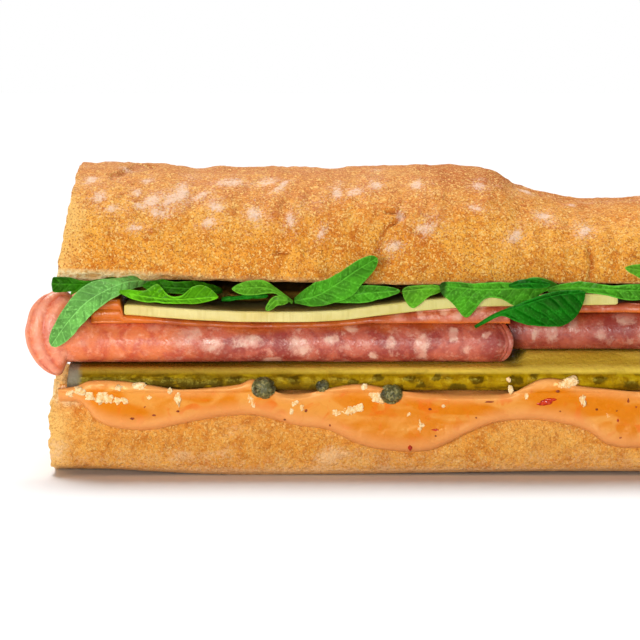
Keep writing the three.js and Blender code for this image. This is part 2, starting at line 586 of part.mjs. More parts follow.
const LEAVES = {
  rocket_drape_left: {
    spine: [[-82, -29, 44.4], [-87, -35.6, 44.6], [-91.6, -39.4, 43.1], [-96.2, -41, 40.4],
      [-100.4, -41.4, 36], [-104.4, -40.6, 30.4]],
    upper: [0.8, 1.3, 2.1, 3.5, 3.3, 2.6, 1.2],
    lower: [0.8, 1.3, 2.1, 2.6, 2.7, 2.6, 1.2],
    facing: [-0.3, -1, 0.2],
    cup: 0.5,
  },
  rocket_far_left: {
    spine: [[-86, -31, 43.9], [-94, -35, 44], [-104.6, -36.4, 44.2]],
    upper: [0.6, 1.7, 1.5, 0.6, 1.7, 1.5],
    lower: [0.6, 1.2, 1.3, 1, 1.6, 1.5],
    facing: OUT,
  },
  rocket_lobed_left: {
    spine: [[-89, -39.6, 42.7], [-82.3, -39.4, 41.4], [-75.5, -39.2, 40.9], [-66.6, -38.6, 41.4]],
    upper: [0.4, 1, 1.5, 3.4, 0.8, 0.8, 2.8, 2.9, 0.6],
    lower: [0.3, 1, 1.2, 1, 1, 0.9, 1, 0.8, 0.5],
    facing: OUT,
    rows: 10,
  },
  rocket_dark_left: {
    spine: [[-66, -29.5, 42.2], [-72, -34.2, 42.9], [-79, -35.6, 43.4], [-84, -35, 43.7]],
    upper: [0.5, 1.6, 2, 1.4, 1.8, 0.6],
    lower: [0.5, 1.2, 1.3, 1.2, 1.2, 0.5],
    facing: OUT,
  },
  rocket_cupped: {
    spine: [[-49.8, -36, 40], [-53.4, -36.8, 42.4], [-57, -37.8, 43.5], [-63.6, -38.2, 43.2]],
    upper: [0.4, 0.4, 0.9, 1.5, 1.6, 1.3, 0.4],
    lower: [0.4, 0.4, 0.6, 1.4, 1.7, 1.5, 0.4],
    facing: OUT,
    cup: -0.6,
  },
  rocket_stem_left: {
    spine: [[-66, -34.6, 40.6], [-60, -35.2, 41.2], [-55.4, -34.8, 41.4]],
    upper: [0.45, 0.45, 0.4],
    lower: [0.45, 0.45, 0.4],
    facing: OUT,
    rows: 5,
  },
  rocket_small_tip: {
    spine: [[-50.8, -38.4, 40.6], [-53.6, -39.2, 40.6], [-55.8, -39.8, 38.5]],
    upper: [0.5, 1.1, 0.9, 0.4],
    lower: [0.5, 1.2, 1, 0.4],
    facing: OUT,
    rows: 8,
  },
  rocket_upright: {
    spine: [[-49.4, -36.6, 40.4], [-44.6, -39, 41.6], [-40, -40.2, 44.3], [-35.6, -40.8, 47.4],
      [-30.6, -40.2, 50.4]],
    upper: [0.6, 2.3, 3, 2.3, 1.9, 1.8, 1.7, 1],
    lower: [0.6, 1.6, 2.6, 3.5, 4, 3.3, 2.3, 1.1],
    facing: [0.1, -1, 0.2],
    cup: 0.4,
    wave: 0.3,
  },
  rocket_low: {
    spine: [[-41, -37, 40.9], [-36, -38, 41.8], [-31, -38.2, 42.4], [-25.4, -37.6, 42.7]],
    upper: [0.5, 1, 1.9, 1.7, 1.2, 0.5],
    lower: [0.5, 0.9, 1.2, 1.2, 0.9, 0.5],
    facing: OUT,
  },
  rocket_hanging: {
    spine: [[-15.6, -37.4, 43.2], [-20, -38.8, 43.2], [-25, -38.9, 42.7]],
    upper: [0.5, 0.9, 1, 1, 1, 0.8],
    lower: [0.5, 1.1, 1.8, 3.2, 3.9, 1.8],
    facing: OUT,
    cup: 0.3,
  },
  rocket_triple: {
    spine: [[10.4, -37.4, 43.5], [2, -39.4, 43.4], [-7.4, -40, 43.3], [-16.6, -39.8, 44.1]],
    upper: [0.7, 2.2, 2.3, 1.5, 1.5, 1.4, 1.2, 1.1, 0.9],
    lower: [0.5, 0.9, 3.2, 3.9, 2.1, 2.2, 6.4, 3.6, 1.4],
    facing: [0, -1, 0.1],
    rows: 10,
  },
  rocket_dark_fold: {
    spine: [[-1, -41.9, 44.2], [3.4, -42.1, 44.7], [8.4, -41.9, 44.4]],
    upper: [0.3, 1, 1.2, 0.9, 0.4],
    lower: [0.3, 1, 1.1, 0.9, 0.4],
    facing: OUT,
    rows: 8,
  },
  rocket_round: {
    spine: [[-8.6, -41, 34.8], [-4, -41.5, 37.4], [2, -41.9, 39.6], [9, -41.5, 41.8], [16.4, -40.4, 42.6]],
    upper: [0.35, 0.4, 0.5, 0.7, 0.8, 0.9, 0.9, 0.8, 0.6],
    lower: [0.35, 0.4, 0.6, 3.4, 5.3, 6.4, 6.9, 5.8, 2.2],
    facing: [0.1, -1, 0.2],
    cup: 0.3,
    rows: 10,
  },
  rocket_right_low: {
    spine: [[8, -38.6, 43], [14.6, -39, 43.5], [21.4, -38.9, 43.1], [29, -38.7, 42.9], [37, -37.6, 42.9]],
    upper: [0.5, 1.3, 1.4, 0.9, 1.4, 1.1, 0.5],
    lower: [0.5, 0.9, 1, 1.6, 2.2, 1.5, 0.5],
    facing: OUT,
    rows: 10,
  },
  rocket_tip_up: {
    spine: [[40.6, -38.2, 43.2], [35.6, -40.2, 45.2], [30.6, -41.2, 47.2], [25.2, -41, 48.2]],
    upper: [0.5, 1.4, 2, 1.6, 0.4],
    lower: [0.5, 1.5, 2.1, 1.7, 0.4],
    facing: [0, -1, 0.15],
  },
  rocket_right_broad: {
    spine: [[44, -37.6, 43], [52, -39.6, 43], [60.6, -40, 42.4], [68.4, -39, 41.2]],
    upper: [0.6, 1.4, 2.4, 1.3, 1.8, 1, 0.4],
    lower: [0.6, 2.2, 3.6, 2, 4.4, 2.2, 0.5],
    facing: OUT,
    rows: 10,
  },
  rocket_right_upright: {
    spine: [[87.4, -37.6, 42.4], [82.6, -39.6, 43.6], [78, -40.6, 46.2], [73.4, -40.2, 48.9]],
    upper: [0.6, 1.9, 2.5, 2.2, 1.4, 0.5],
    lower: [0.6, 1.7, 2.4, 2.3, 1.5, 0.5],
    facing: [0, -1, 0.15],
  },
  rocket_drape_right: {
    spine: [[84, -33.4, 42.9], [90.6, -37.6, 43.1], [97, -39.4, 41.6], [102.4, -39.4, 37.4],
      [105.4, -38.4, 32.6]],
    upper: [0.6, 1.4, 2.6, 2.9, 2.2, 0.6],
    lower: [0.6, 1.5, 2.8, 3, 2.3, 0.6],
    facing: [0.3, -1, 0.2],
  },
};

// A leaf of the far side: a shown leaf turned half round the loaf's upright axis, at the gap's height there.
function turnedLeaf(recipe, raised) {
  const gapMiddle = (x) => (cheeseMiddle(x) + upperRim(x)) / 2;
  const turn = ([x, y, z]) => [-x, -y, z + gapMiddle(-x) - gapMiddle(x) + raised];
  const [fx, fy, fz] = recipe.facing;
  return { ...recipe, spine: recipe.spine.map(turn), facing: [-fx, -fy, fz] };
}

// The shown leaves that are turned, and how much higher or lower each then lies.
const TURNED = {
  rocket_drape_left: -1.1,
  rocket_lobed_left: 0.2,
  rocket_upright: 0.9,
  rocket_triple: 0.2,
  rocket_right_low: 0,
  rocket_right_broad: 0,
  rocket_right_upright: 0,
  rocket_drape_right: 0,
};

const BED_HALF = 25;
const BED_THICK = 4.6;

// The leaves of the bed that reach out from under the crust, as [x at the root, x at the tip, side].
const BED_LEAVES = [
  [-58, -64, -1], [-24, -31, -1], [44, 51, -1], [84, 91, -1],
  [-88, -80, 1], [-36, -28, 1], [22, 15, 1], [60, 68, 1],
];

// The bed of rocket under the crust is one heap: a core with the leaves that show fused on.
function rocketBed() {
  const floor = (x) => cheeseMiddle(x) + CHEESE_THICK / 2 + GAP + 1.4 * smooth(-x, 86, 90);
  const roof = (x) => upperRim(x) - Math.max(crumbSag(x), 0) - GAP;
  const core = loft(
    [-95, ...steps(17, -89, 97)].map((x) => {
      const low = floor(x);
      const thick = Math.min(roof(x) - low, BED_THICK) - 0.25 * (1 + relief(3 * x, 0, 0));
      const front = BED_HALF + 2.4 * relief(2.2 * x, 4, 0);
      const back = BED_HALF + 2.4 * relief(2 * x, 9, 2);
      const ring = [
        [-front, low + 0.3 * thick], [-front + 1.6, low + 0.8 * thick], [-12, low + thick],
        [0, low + 0.85 * thick], [12, low + thick], [back - 1.6, low + 0.8 * thick],
        [back, low + 0.3 * thick], [back - 2, low], [0, low], [-front + 2, low],
      ];
      return ring.map(([y, z]) => [x, y, z]);
    }),
  );
  const lying = BED_LEAVES.map(([root, tip, side]) => {
    const middle = (root + tip) / 2;
    const height = (floor(middle) + roof(middle)) / 2;
    return toSolid(
      leaf({
        spine: [[root, 20 * side, height], [middle, 27 * side, height + 0.2], [tip, 33.6 * side, height]],
        upper: [1.2, 2.6, 3, 1.9, 0.4],
        lower: [1.2, 2.4, 2.8, 2.1, 0.4],
        facing: [0, 0, 1],
        cup: 0.4,
        wave: 0.2,
        rows: 4,
      }),
    );
  });
  return toGeometry(wasm.Manifold.union([toSolid(core), ...lying]));
}

// ---- the sandwich ----------------------------------------------------------------------------------
const CRUST = new THREE.MeshStandardMaterial({ color: "#d99a4e", roughness: 0.85 });
const SAUCE = new THREE.MeshStandardMaterial({ color: "#ec9638", roughness: 0.3 });
const CAPER = new THREE.MeshStandardMaterial({ color: "#5e5a2c", roughness: 0.5 });
const GHERKIN = new THREE.MeshStandardMaterial({ color: "#96780f", roughness: 0.35 });
const SALAMI = new THREE.MeshStandardMaterial({ color: "#b9604a", roughness: 0.4 });
const CHEESE = new THREE.MeshStandardMaterial({ color: "#dccf86", roughness: 0.45 });
const ROCKET = new THREE.MeshStandardMaterial({ color: "#4a9a2c", roughness: 0.5 });

const sandwich = new THREE.Group();

function addPiece(name, geometry, material) {
  geometry.computeVertexNormals();
  const mesh = new THREE.Mesh(geometry, material);
  mesh.name = name;
  sandwich.add(mesh);
}

addPiece("bread_lower", breadLower(), CRUST);
addPiece("bread_upper", breadUpper(), CRUST);

// Each caper sits in a hollow that it has pressed into the sauce and the gherkin beside it.
const hollows = wasm.Manifold.union(
  Object.values(CAPERS).map(([centre, radius]) => caper([centre, radius + GAP])),
);
addPiece("sauce", toGeometry(sauce().subtract(hollows)), SAUCE);
for (const [name, [from, to, sign]] of Object.entries(PICKLES)) {
  addPiece(name, toGeometry(toSolid(pickleSlice(from, to, sign)).subtract(hollows)), GHERKIN);
}
for (const [name, place] of Object.entries(CAPERS)) addPiece(name, toGeometry(caper(place)), CAPER);

for (const [name, fold] of Object.entries(FOLDS)) {
  addPiece(name, foldedSlice({ ...fold, nest: 0 }), SALAMI);
  addPiece(name + "_inner", foldedSlice({ ...fold, nest: 1 }), SALAMI);
}
addPiece("salami_upper_left", upperSlices(LEFT_STATIONS, 0, END_RISE), SALAMI);
addPiece("salami_upper_right", upperSlices(steps(10, 0.2, 103.4), RIGHT_LIFT, 0), SALAMI);

addPiece("cheese_left", cheeseSlice(-88, 23.9, 38.2, 36.4), CHEESE);
addPiece("cheese_right", cheeseSlice(31, 95.4, 36.8, 37.6), CHEESE);

addPiece("rocket_bed", rocketBed(), ROCKET);
for (const [name, recipe] of Object.entries(LEAVES)) addPiece(name, leaf(recipe), ROCKET);
for (const [name, raised] of Object.entries(TURNED)) {
  addPiece(name + "_back", leaf(turnedLeaf(LEAVES[name], raised)), ROCKET);
}

export default sandwich;
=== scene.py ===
"""Looks of the deli sandwich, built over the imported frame: crusty baguette, spicy sauce with capers,
gherkin slices, folded salami, sliced cheese and rocket. Shapes are worked out in millimetres."""

import logging
import math
from dataclasses import dataclass, field, replace
from enum import Enum
from functools import lru_cache
from itertools import product
from typing import Sequence

import bpy
import numpy as np
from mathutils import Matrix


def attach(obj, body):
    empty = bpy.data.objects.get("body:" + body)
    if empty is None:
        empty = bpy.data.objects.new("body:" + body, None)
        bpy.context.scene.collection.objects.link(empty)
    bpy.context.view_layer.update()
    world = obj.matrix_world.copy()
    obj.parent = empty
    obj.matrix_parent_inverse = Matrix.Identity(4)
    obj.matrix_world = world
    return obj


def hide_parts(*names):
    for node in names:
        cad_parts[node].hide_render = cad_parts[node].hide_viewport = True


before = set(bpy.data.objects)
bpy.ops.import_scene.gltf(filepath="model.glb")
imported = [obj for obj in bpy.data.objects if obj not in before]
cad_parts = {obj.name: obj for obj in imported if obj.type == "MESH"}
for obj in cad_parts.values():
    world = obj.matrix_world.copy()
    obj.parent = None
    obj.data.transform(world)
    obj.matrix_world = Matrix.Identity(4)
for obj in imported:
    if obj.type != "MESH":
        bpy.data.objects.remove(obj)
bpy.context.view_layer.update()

MM = 0.001
BODY = "root"
TABLE = 65536  # random numbers behind a field
SCATTER = (73856093, 19349663, 83492791, 2654435)  # primes that spread the cells over the table
log = logging.getLogger("sandwich")

Array = np.ndarray
Knots = Sequence[tuple[float, float]]
Rows = Sequence[tuple[float, ...]]
Point = tuple[float, float, float]
Material = bpy.types.Material
Socket = bpy.types.NodeSocket
Thing = bpy.types.Object


# ---- shared sums
def smooth(value: Array, low: float, high: float) -> Array:
    """Rise from 0 at low to 1 at high without a corner, for each value."""
    t = np.clip((np.asarray(value, float) - low) / (high - low), 0.0, 1.0)
    return t * t * (3.0 - 2.0 * t)


def fall(value: Array, low: float, high: float) -> Array:
    """Fall from 1 at low to 0 at high without a corner."""
    return 1 - smooth(value, low, high)


def blend(a: Array, b: Array, share: Array) -> Array:
    """Mix two values: a where share is 0, b where it is 1."""
    return a + (b - a) * share


def rounded(share: Array) -> Array:
    """Rise along a quarter circle, from 0 at 0 to 1 at 1."""
    return np.sqrt(1 - (1 - np.clip(share, 0, 1)) ** 2)


def grid(x: Array, y: Array, z: Array) -> Array:
    """Points from three coordinates, each a number, a row, a column or a whole grid."""
    return np.stack(np.broadcast_arrays(x, y, z), axis=-1)


def lengths(line: Array) -> Array:
    """How far along a line each of its points lies."""
    return np.r_[0, np.cumsum(np.linalg.norm(np.diff(line, axis=0), axis=1))]


def even_steps(line: Array, count: int) -> Array:
    """Spread points evenly along a line.

    Args:
        line: points of the line, any number of coordinates each.
        count: how many points to return.

    Returns:
        Points at even distances, both ends kept.
    """
    length = lengths(line)
    at = np.linspace(0, length[-1], count)
    return np.stack([np.interp(at, length, column) for column in line.T], axis=-1)


class Curve:
    """A smooth line through knots, level beyond both ends."""

    def __init__(self, knots: Knots) -> None:
        """Keep the knots and the slope at each.

        Args:
            knots: (position, value) pairs in rising order.
        """
        self.x, self.v = np.array(list(knots), float).T
        before = np.r_[0, np.arange(len(self.x) - 1)]
        after = np.r_[np.arange(1, len(self.x)), len(self.x) - 1]
        self.slope = (self.v[after] - self.v[before]) / (self.x[after] - self.x[before])

    def __call__(self, x: Array) -> Array:
        """Read the line.

        Args:
            x: positions.

        Returns:
            The value at each position.
        """
        x = np.clip(np.asarray(x, float), self.x[0], self.x[-1])
        i = np.clip(np.searchsorted(self.x, x, side="right") - 1, 0, len(self.x) - 2)
        h = self.x[i + 1] - self.x[i]
        t = (x - self.x[i]) / h
        rise = self.v[i + 1] - self.v[i]
        first = self.slope[i] * h - rise
        last = rise - self.slope[i + 1] * h
        return self.v[i] + rise * t + t * (1 - t) * (first * (1 - t) + last * t)


def evenly(values: Sequence[float]) -> Curve:
    """A smooth line through values at even steps from 0 to 1."""
    return Curve([(i / (len(values) - 1), v) for i, v in enumerate(values)])


def relief(x: Array, y: Array, z: Array) -> Array:
    """The frame's own uneven relief, so that both agree on each swelling.

    Args:
        x: positions along the loaf.
        y: positions across it.
        z: heights.

    Returns:
        Numbers between about -1 and 1.
    """
    broad = np.sin(0.21 * x + 1.3) * np.cos(0.17 * y + 0.23 * z)
    middling = np.sin(0.53 * x + 0.31 * y + 2.1) * np.sin(0.42 * z + 0.7)
    small = np.sin(1.17 * x - 0.71 * y) * np.cos(0.9 * z + 0.5 * y)
    return 0.45 * broad + 0.33 * middling + 0.22 * small


@lru_cache
def dice(seed: int) -> Array:
    """The random numbers behind a field, the same at each run."""
    return np.random.default_rng(seed).random(TABLE)


@dataclass(frozen=True)
class Grain:
    """Seeded uneven fields in space, at places in millimetres."""

    seed: int

    def pick(self, cell: Array, salt: int = 0) -> Array:
        """One random number for each lattice cell.

        Args:
            cell: whole numbers, three for each point.
            salt: another number gives another set.

        Returns:
            Numbers from 0 to 1.
        """
        h = salt * SCATTER[3]
        for axis in range(3):
            h = h ^ (cell[..., axis] * SCATTER[axis])
        return dice(self.seed)[(h ^ (h >> 15)) & (TABLE - 1)]

    def soft(self, points: Array, size: float) -> Array:
        """Soft lumps.

        Args:
            points: places, three numbers each.
            size: about how wide a lump is.

        Returns:
            Numbers between -1 and 1.
        """
        q = points / size
        cell = np.floor(q).astype(np.int64)
        f = q - cell
        f = f * f * (3 - 2 * f)
        total = np.zeros(points.shape[:-1])
        for corner in product((0, 1), repeat=3):
            near = [np.abs(1 - step - f[..., axis]) for axis, step in enumerate(corner)]
            total += near[0] * near[1] * near[2] * self.pick(cell + np.array(corner))
        return 2 * total - 1

    def rough(self, points: Array, size: float, octaves: int = 3) -> Array:
        """Lumps of a size with smaller ones on them, each octave half as wide as the one before."""
        total = sum(self.soft(points + 17.3 * k, size / 2**k) / 2**k for k in range(octaves))
        return total / (2 - 2.0 ** (1 - octaves))

    def pores(self, points: Array, size: float, share: float) -> Array:
        """Round holes of uneven width, as bubbles leave in crumb.

        Args:
            points: places, three numbers each.
            size: how far apart the holes are.
            share: how many of the cells hold one.

        Returns:
            0 outside the holes, up to 1 at the middle of one.
        """
        q = points / size
        cell = np.floor(q).astype(np.int64)
        deepest = np.zeros(points.shape[:-1])
        for step in product((-1, 0, 1), repeat=3):
            c = cell + np.array(step)
            middle = c + np.stack([self.pick(c, s) for s in (1, 2, 3)], axis=-1)
            width = 0.28 + 0.42 * self.pick(c, 4) ** 2
            away = np.linalg.norm(q - middle, axis=-1) / width
            deepest = np.maximum(deepest, (self.pick(c, 5) < share) * fall(away, 0.45, 1.0))
        return deepest


# ---- meshes
@dataclass
class Shell:
    """A surface in millimetres: points, faces, and a value per point for each mask."""

    points: Array
    quads: Array
    triangles: Array = field(default_factory=lambda: np.zeros((0, 3), int))
    masks: dict[str, Array] = field(default_factory=dict)

    def to_object(self, name: str, material: Material) -> Thing:
        """Make the Blender object.

        Args:
            name: the object's name.
            material: its finish.

        Returns:
            The object, linked to the scene, in metres.
        """
        mesh = bpy.data.meshes.new(name)
        mesh.vertices.add(len(self.points))
        mesh.vertices.foreach_set("co", (self.points * MM).astype(np.float32).ravel())
        corners = np.r_[self.quads.ravel(), self.triangles.ravel()].astype(np.int32)
        starts = np.r_[4 * np.arange(len(self.quads)), self.quads.size + 3 * np.arange(len(self.triangles))]
        mesh.loops.add(len(corners))
        mesh.loops.foreach_set("vertex_index", corners)
        mesh.polygons.add(len(starts))
        mesh.polygons.foreach_set("loop_start", starts.astype(np.int32))
        mesh.polygons.foreach_set("use_smooth", np.ones(len(starts), bool))
        mesh.update(calc_edges=True)
        mesh.validate()
        for key, values in self.masks.items():
            layer = mesh.attributes.new(key, "FLOAT", "POINT")
            layer.data.foreach_set("value", values.astype(np.float32))
        thing = bpy.data.objects.new(name, mesh)
        bpy.context.scene.collection.objects.link(thing)
        mesh.materials.append(material)
        return thing


def join_all(shells: Sequence[Shell]) -> Shell:
    """Join surfaces that have the same masks.

    Args:
        shells: one or more surfaces.

    Returns:
        All of them as one.
    """
    first = np.cumsum([0] + [len(shell.points) for shell in shells])
    return Shell(
        np.vstack([shell.points for shell in shells]),
        np.vstack([shell.quads + n for shell, n in zip(shells, first)]),
        np.vstack([shell.triangles + n for shell, n in zip(shells, first)]),
        {key: np.concatenate([shell.masks[key] for shell in shells]) for key in shells[0].masks},
    )


def facing(rows: Array) -> Array:
    """The direction that each point faces, outwards for rings of points that turn as the loaf's do."""
    around = np.roll(rows, -1, axis=1) - np.roll(rows, 1, axis=1)
    return unit(np.cross(np.gradient(rows, axis=0), around))


def unit(vectors: Array) -> Array:
    """The same directions, one millimetre long."""
    return vectors / np.maximum(np.linalg.norm(vectors, axis=-1, keepdims=True), 1e-9)


def tube(rows: Array, masks: dict[str, Array]) -> Shell:
    """A closed surface round a row of rings, with a point in the middle of each end.

    Args:
        rows: rings of points, first axis along the piece.
        masks: values that can be spread over the rings.

    Returns:
        The closed surface.
    """
    m, n = rows.shape[:2]
    ring = np.arange(n)
    after = np.roll(ring, -1)
    row = n * np.arange(m - 1)[:, None]
    quads = np.stack([row + ring, row + n + ring, row + n + after, row + after], axis=-1).reshape(-1, 4)
    first = np.stack([np.full(n, m * n), ring, after], axis=-1)
    last = np.stack([np.full(n, m * n + 1), (m - 1) * n + after, (m - 1) * n + ring], axis=-1)
    values = {key: np.broadcast_to(v, (m, n)) for key, v in masks.items()}
    return Shell(
        np.vstack([rows.reshape(-1, 3), rows[0].mean(0), rows[-1].mean(0)]),
        quads,
        np.vstack([first, last]),
        {key: np.r_[v.ravel(), v[0].mean(), v[-1].mean()] for key, v in values.items()},
    )


def sheet(middle: Array, thick: Array, masks: dict[str, Array]) -> Shell:
    """A thin closed piece round its middle surface.

    Args:
        middle: a grid of points.
        thick: thickness at each point.
        masks: values that can be spread over the grid.

    Returns:
        The two faces and the rim between them.
    """
    m, n = middle.shape[:2]
    half = unit(np.cross(np.gradient(middle, axis=0), np.gradient(middle, axis=1))) * thick[..., None] / 2
    a = (n * np.arange(m - 1)[:, None] + np.arange(n - 1)).ravel()
    face = np.stack([a, a + n, a + n + 1, a + 1], axis=-1)
    rim = np.r_[np.arange(n), n * np.arange(1, m) + n - 1, m * n - 2 - np.arange(n - 1),
                n * np.arange(m - 2, 0, -1)]
    after = np.roll(rim, -1)
    edge = np.stack([rim, after, after + m * n, rim + m * n], axis=-1)
    return Shell(
        np.vstack([(middle + half).reshape(-1, 3), (middle - half).reshape(-1, 3)]),
        np.vstack([face, face[:, ::-1] + m * n, edge]),
        masks={key: np.tile(np.broadcast_to(v, (m, n)).ravel(), 2) for key, v in masks.items()},
    )


def edged(shape: tuple[int, int], steps: int) -> Array:
    """Thickness that tapers off at the rim of a grid.

    Args:
        shape: rows and columns.
        steps: how many rows and columns the taper takes.

    Returns:
        1 inside, less towards the rim.
    """
    near = [np.minimum(np.arange(count), np.arange(count)[::-1]) for count in shape]
    down, across = (rounded((steps_in + 0.35) / steps) for steps_in in near)
    return down[:, None] * across


def ball(rings: int, around: int, pole: float) -> Array:
    """Rings of a ball.

    Args:
        rings: how many rings from pole to pole.
        around: points round each.
        pole: the angle that each pole is open by.

    Returns:
        Points at a distance of 1 from the middle.
    """
    polar = np.linspace(pole, math.pi - pole, rings)[:, None]
    turn = np.linspace(0, 2 * math.pi, around, endpoint=False)
    return grid(np.cos(polar), np.sin(polar) * np.cos(turn), np.sin(polar) * np.sin(turn))


def settle(piece: Thing, slot: str, *nodes: str) -> Thing:
    """Set a piece on the frame, in place of the solids that it stands for.

    Args:
        piece: the finished object.
        slot: the finish slot's name, only shown in the log when no solids are named.
        nodes: names of the solids.

    Returns:
        The same object.
    """
    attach(piece, BODY)
    if nodes:
        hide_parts(*nodes)
    log.info("%s: %d faces for %s", piece.name, len(piece.data.polygons), ", ".join(nodes) or slot)
    return piece


# ---- finishes
Colour = tuple[float, ...]


def tint(*seen: float) -> Colour:
    """The shader's linear colour for one seen on a screen, 0 to 255 for each channel."""
    shares = (v / 255 for v in seen)
    return tuple(v / 12.92 if v <= 0.04045 else ((v + 0.055) / 1.055) ** 2.4 for v in shares)


class Bench:
    """Puts the nodes of one material together."""

    def __init__(self, name: str) -> None:
        """Start a material with its surface shader.

        Args:
            name: the material's name.
        """
        self.material = bpy.data.materials.new(name)
        self.material.use_nodes = True
        self.tree = self.material.node_tree
        self.place = self.tree.nodes.new("ShaderNodeTexCoord").outputs["Object"]

    def join(self, source: object, target: Socket) -> None:
        """Feed a socket from another socket, a number or a colour.

        Args:
            source: what to feed in.
            target: the input.
        """
        if isinstance(source, Socket):
            self.tree.links.new(source, target)
        elif isinstance(source, tuple) and len(source) == 3 and target.type == "RGBA":
            target.default_value = (*source, 1.0)
        else:
            target.default_value = source

    def node(self, kind: str, inputs: dict[str | int, object], **settings: object) -> bpy.types.Node:
        """Add a node.

        Args:
            kind: Blender's name for it.
            inputs: what to feed each input, by its name or number.
            settings: the node's own properties.

        Returns:
            The node.
        """
        node = self.tree.nodes.new(kind)
        for name, value in settings.items():
            setattr(node, name, value)
        for name, source in inputs.items():
            self.join(source, node.inputs[name])
        return node

    def scaled(self, size: float, stretch: Colour) -> dict[str, object]:
        """What a pattern of a size in millimetres takes, set closer by stretch along each axis."""
        place = self.node("ShaderNodeVectorMath", {0: self.place, 1: stretch}, operation="MULTIPLY")
        return {"Vector": place.outputs[0], "Scale": 1 / (size * MM)}

    def noise(self, size: float, detail: float = 3.0, rough: float = 0.55, warp: float = 0.0,
              stretch: Colour = (1, 1, 1)) -> Socket:
        """Soft noise.

        Args:
            size: how wide a lump is, in millimetres.
            detail: how many finer sizes are added.
            rough: how strong these are.
            warp: how far the pattern is pulled about.
            stretch: how many times closer it lies along each axis.

        Returns:
            A value about 0.5.
        """
        inputs = {"Detail": detail, "Roughness": rough, "Distortion": warp}
        return self.node("ShaderNodeTexNoise", self.scaled(size, stretch) | inputs).outputs["Fac"]

    def cells(self, size: float) -> Socket:
        """Distance from the middle of rounded cells: 0 there, about 0.7 at a cell's edge."""
        return self.node("ShaderNodeTexVoronoi", self.scaled(size, (1, 1, 1))).outputs["Distance"]

    def mask(self, name: str) -> Socket:
        """A value that the mesh carries."""
        return self.node("ShaderNodeAttribute", {}, attribute_name=name).outputs["Fac"]

    def sum(self, kind: str, a: object, b: object) -> Socket:
        """One sum on two values, by Blender's name for it."""
        return self.node("ShaderNodeMath", {0: a, 1: b}, operation=kind).outputs[0]

    def between(self, value: object, low: float, high: float, start: float = 0.0, end: float = 1.0) -> Socket:
        """Carry a value from the range low to high to start to end, smoothly and held at both ends."""
        inputs = dict(enumerate((value, low, high, start, end)))
        return self.node("ShaderNodeMapRange", inputs, interpolation_type="SMOOTHSTEP").outputs[0]

    def mix(self, share: object, a: object, b: object) -> Socket:
        """Mix two colours: a where share is 0, b where it is 1."""
        return self.node("ShaderNodeMix", {0: share, 6: a, 7: b}, data_type="RGBA").outputs[2]

    def over(self, base: object, top: object, value: object, low: float, high: float,
             most: float = 1.0) -> Socket:
        """Lay the colour top over base, from none where value is low to most where it is high."""
        return self.mix(self.between(value, low, high, 0, most), base, top)

    def stained(self, base: object, top: object, name: str, most: object = 1.0) -> Socket:
        """Lay one colour over another where a mask of the mesh says so, as strong as most."""
        return self.mix(self.sum("MULTIPLY", self.mask(name), most), base, top)

    def bump(self, height: object, deep: float) -> Socket:
        """Fine relief from a height of 0 to 1, so many millimetres deep."""
        return self.node("ShaderNodeBump", {"Distance": deep * MM, "Height": height}).outputs[0]

    def finish(self, colour: object, rough: object, gloss: float, height: object = None, deep: float = 0,
               inner: Sequence[float] = (), more: dict[str, object] | None = None) -> Material:
        """Set the surface shader's inputs.

        Args:
            colour: the base colour.
            rough: how dull the surface is.
            gloss: the level of its reflections.
            height: the height of its fine relief, 0 to 1.
            deep: how deep that is, in millimetres.
            inner: how much light goes in, and how far for red, green and blue, in metres.
            more: other inputs by name.

        Returns:
            The finished material.
        """
        inputs = {"Base Color": colour, "Roughness": rough, "Specular IOR Level": gloss} | (more or {})
        if height is not None:
            inputs["Normal"] = self.bump(height, deep)
        if inner:
            inputs |= {"Subsurface Weight": inner[0], "Subsurface Radius": inner[1:], "Subsurface Scale": 0.5}
        surface = self.tree.nodes["Principled BSDF"]
        for name, value in inputs.items():
            self.join(value, surface.inputs[name])
        return self.material


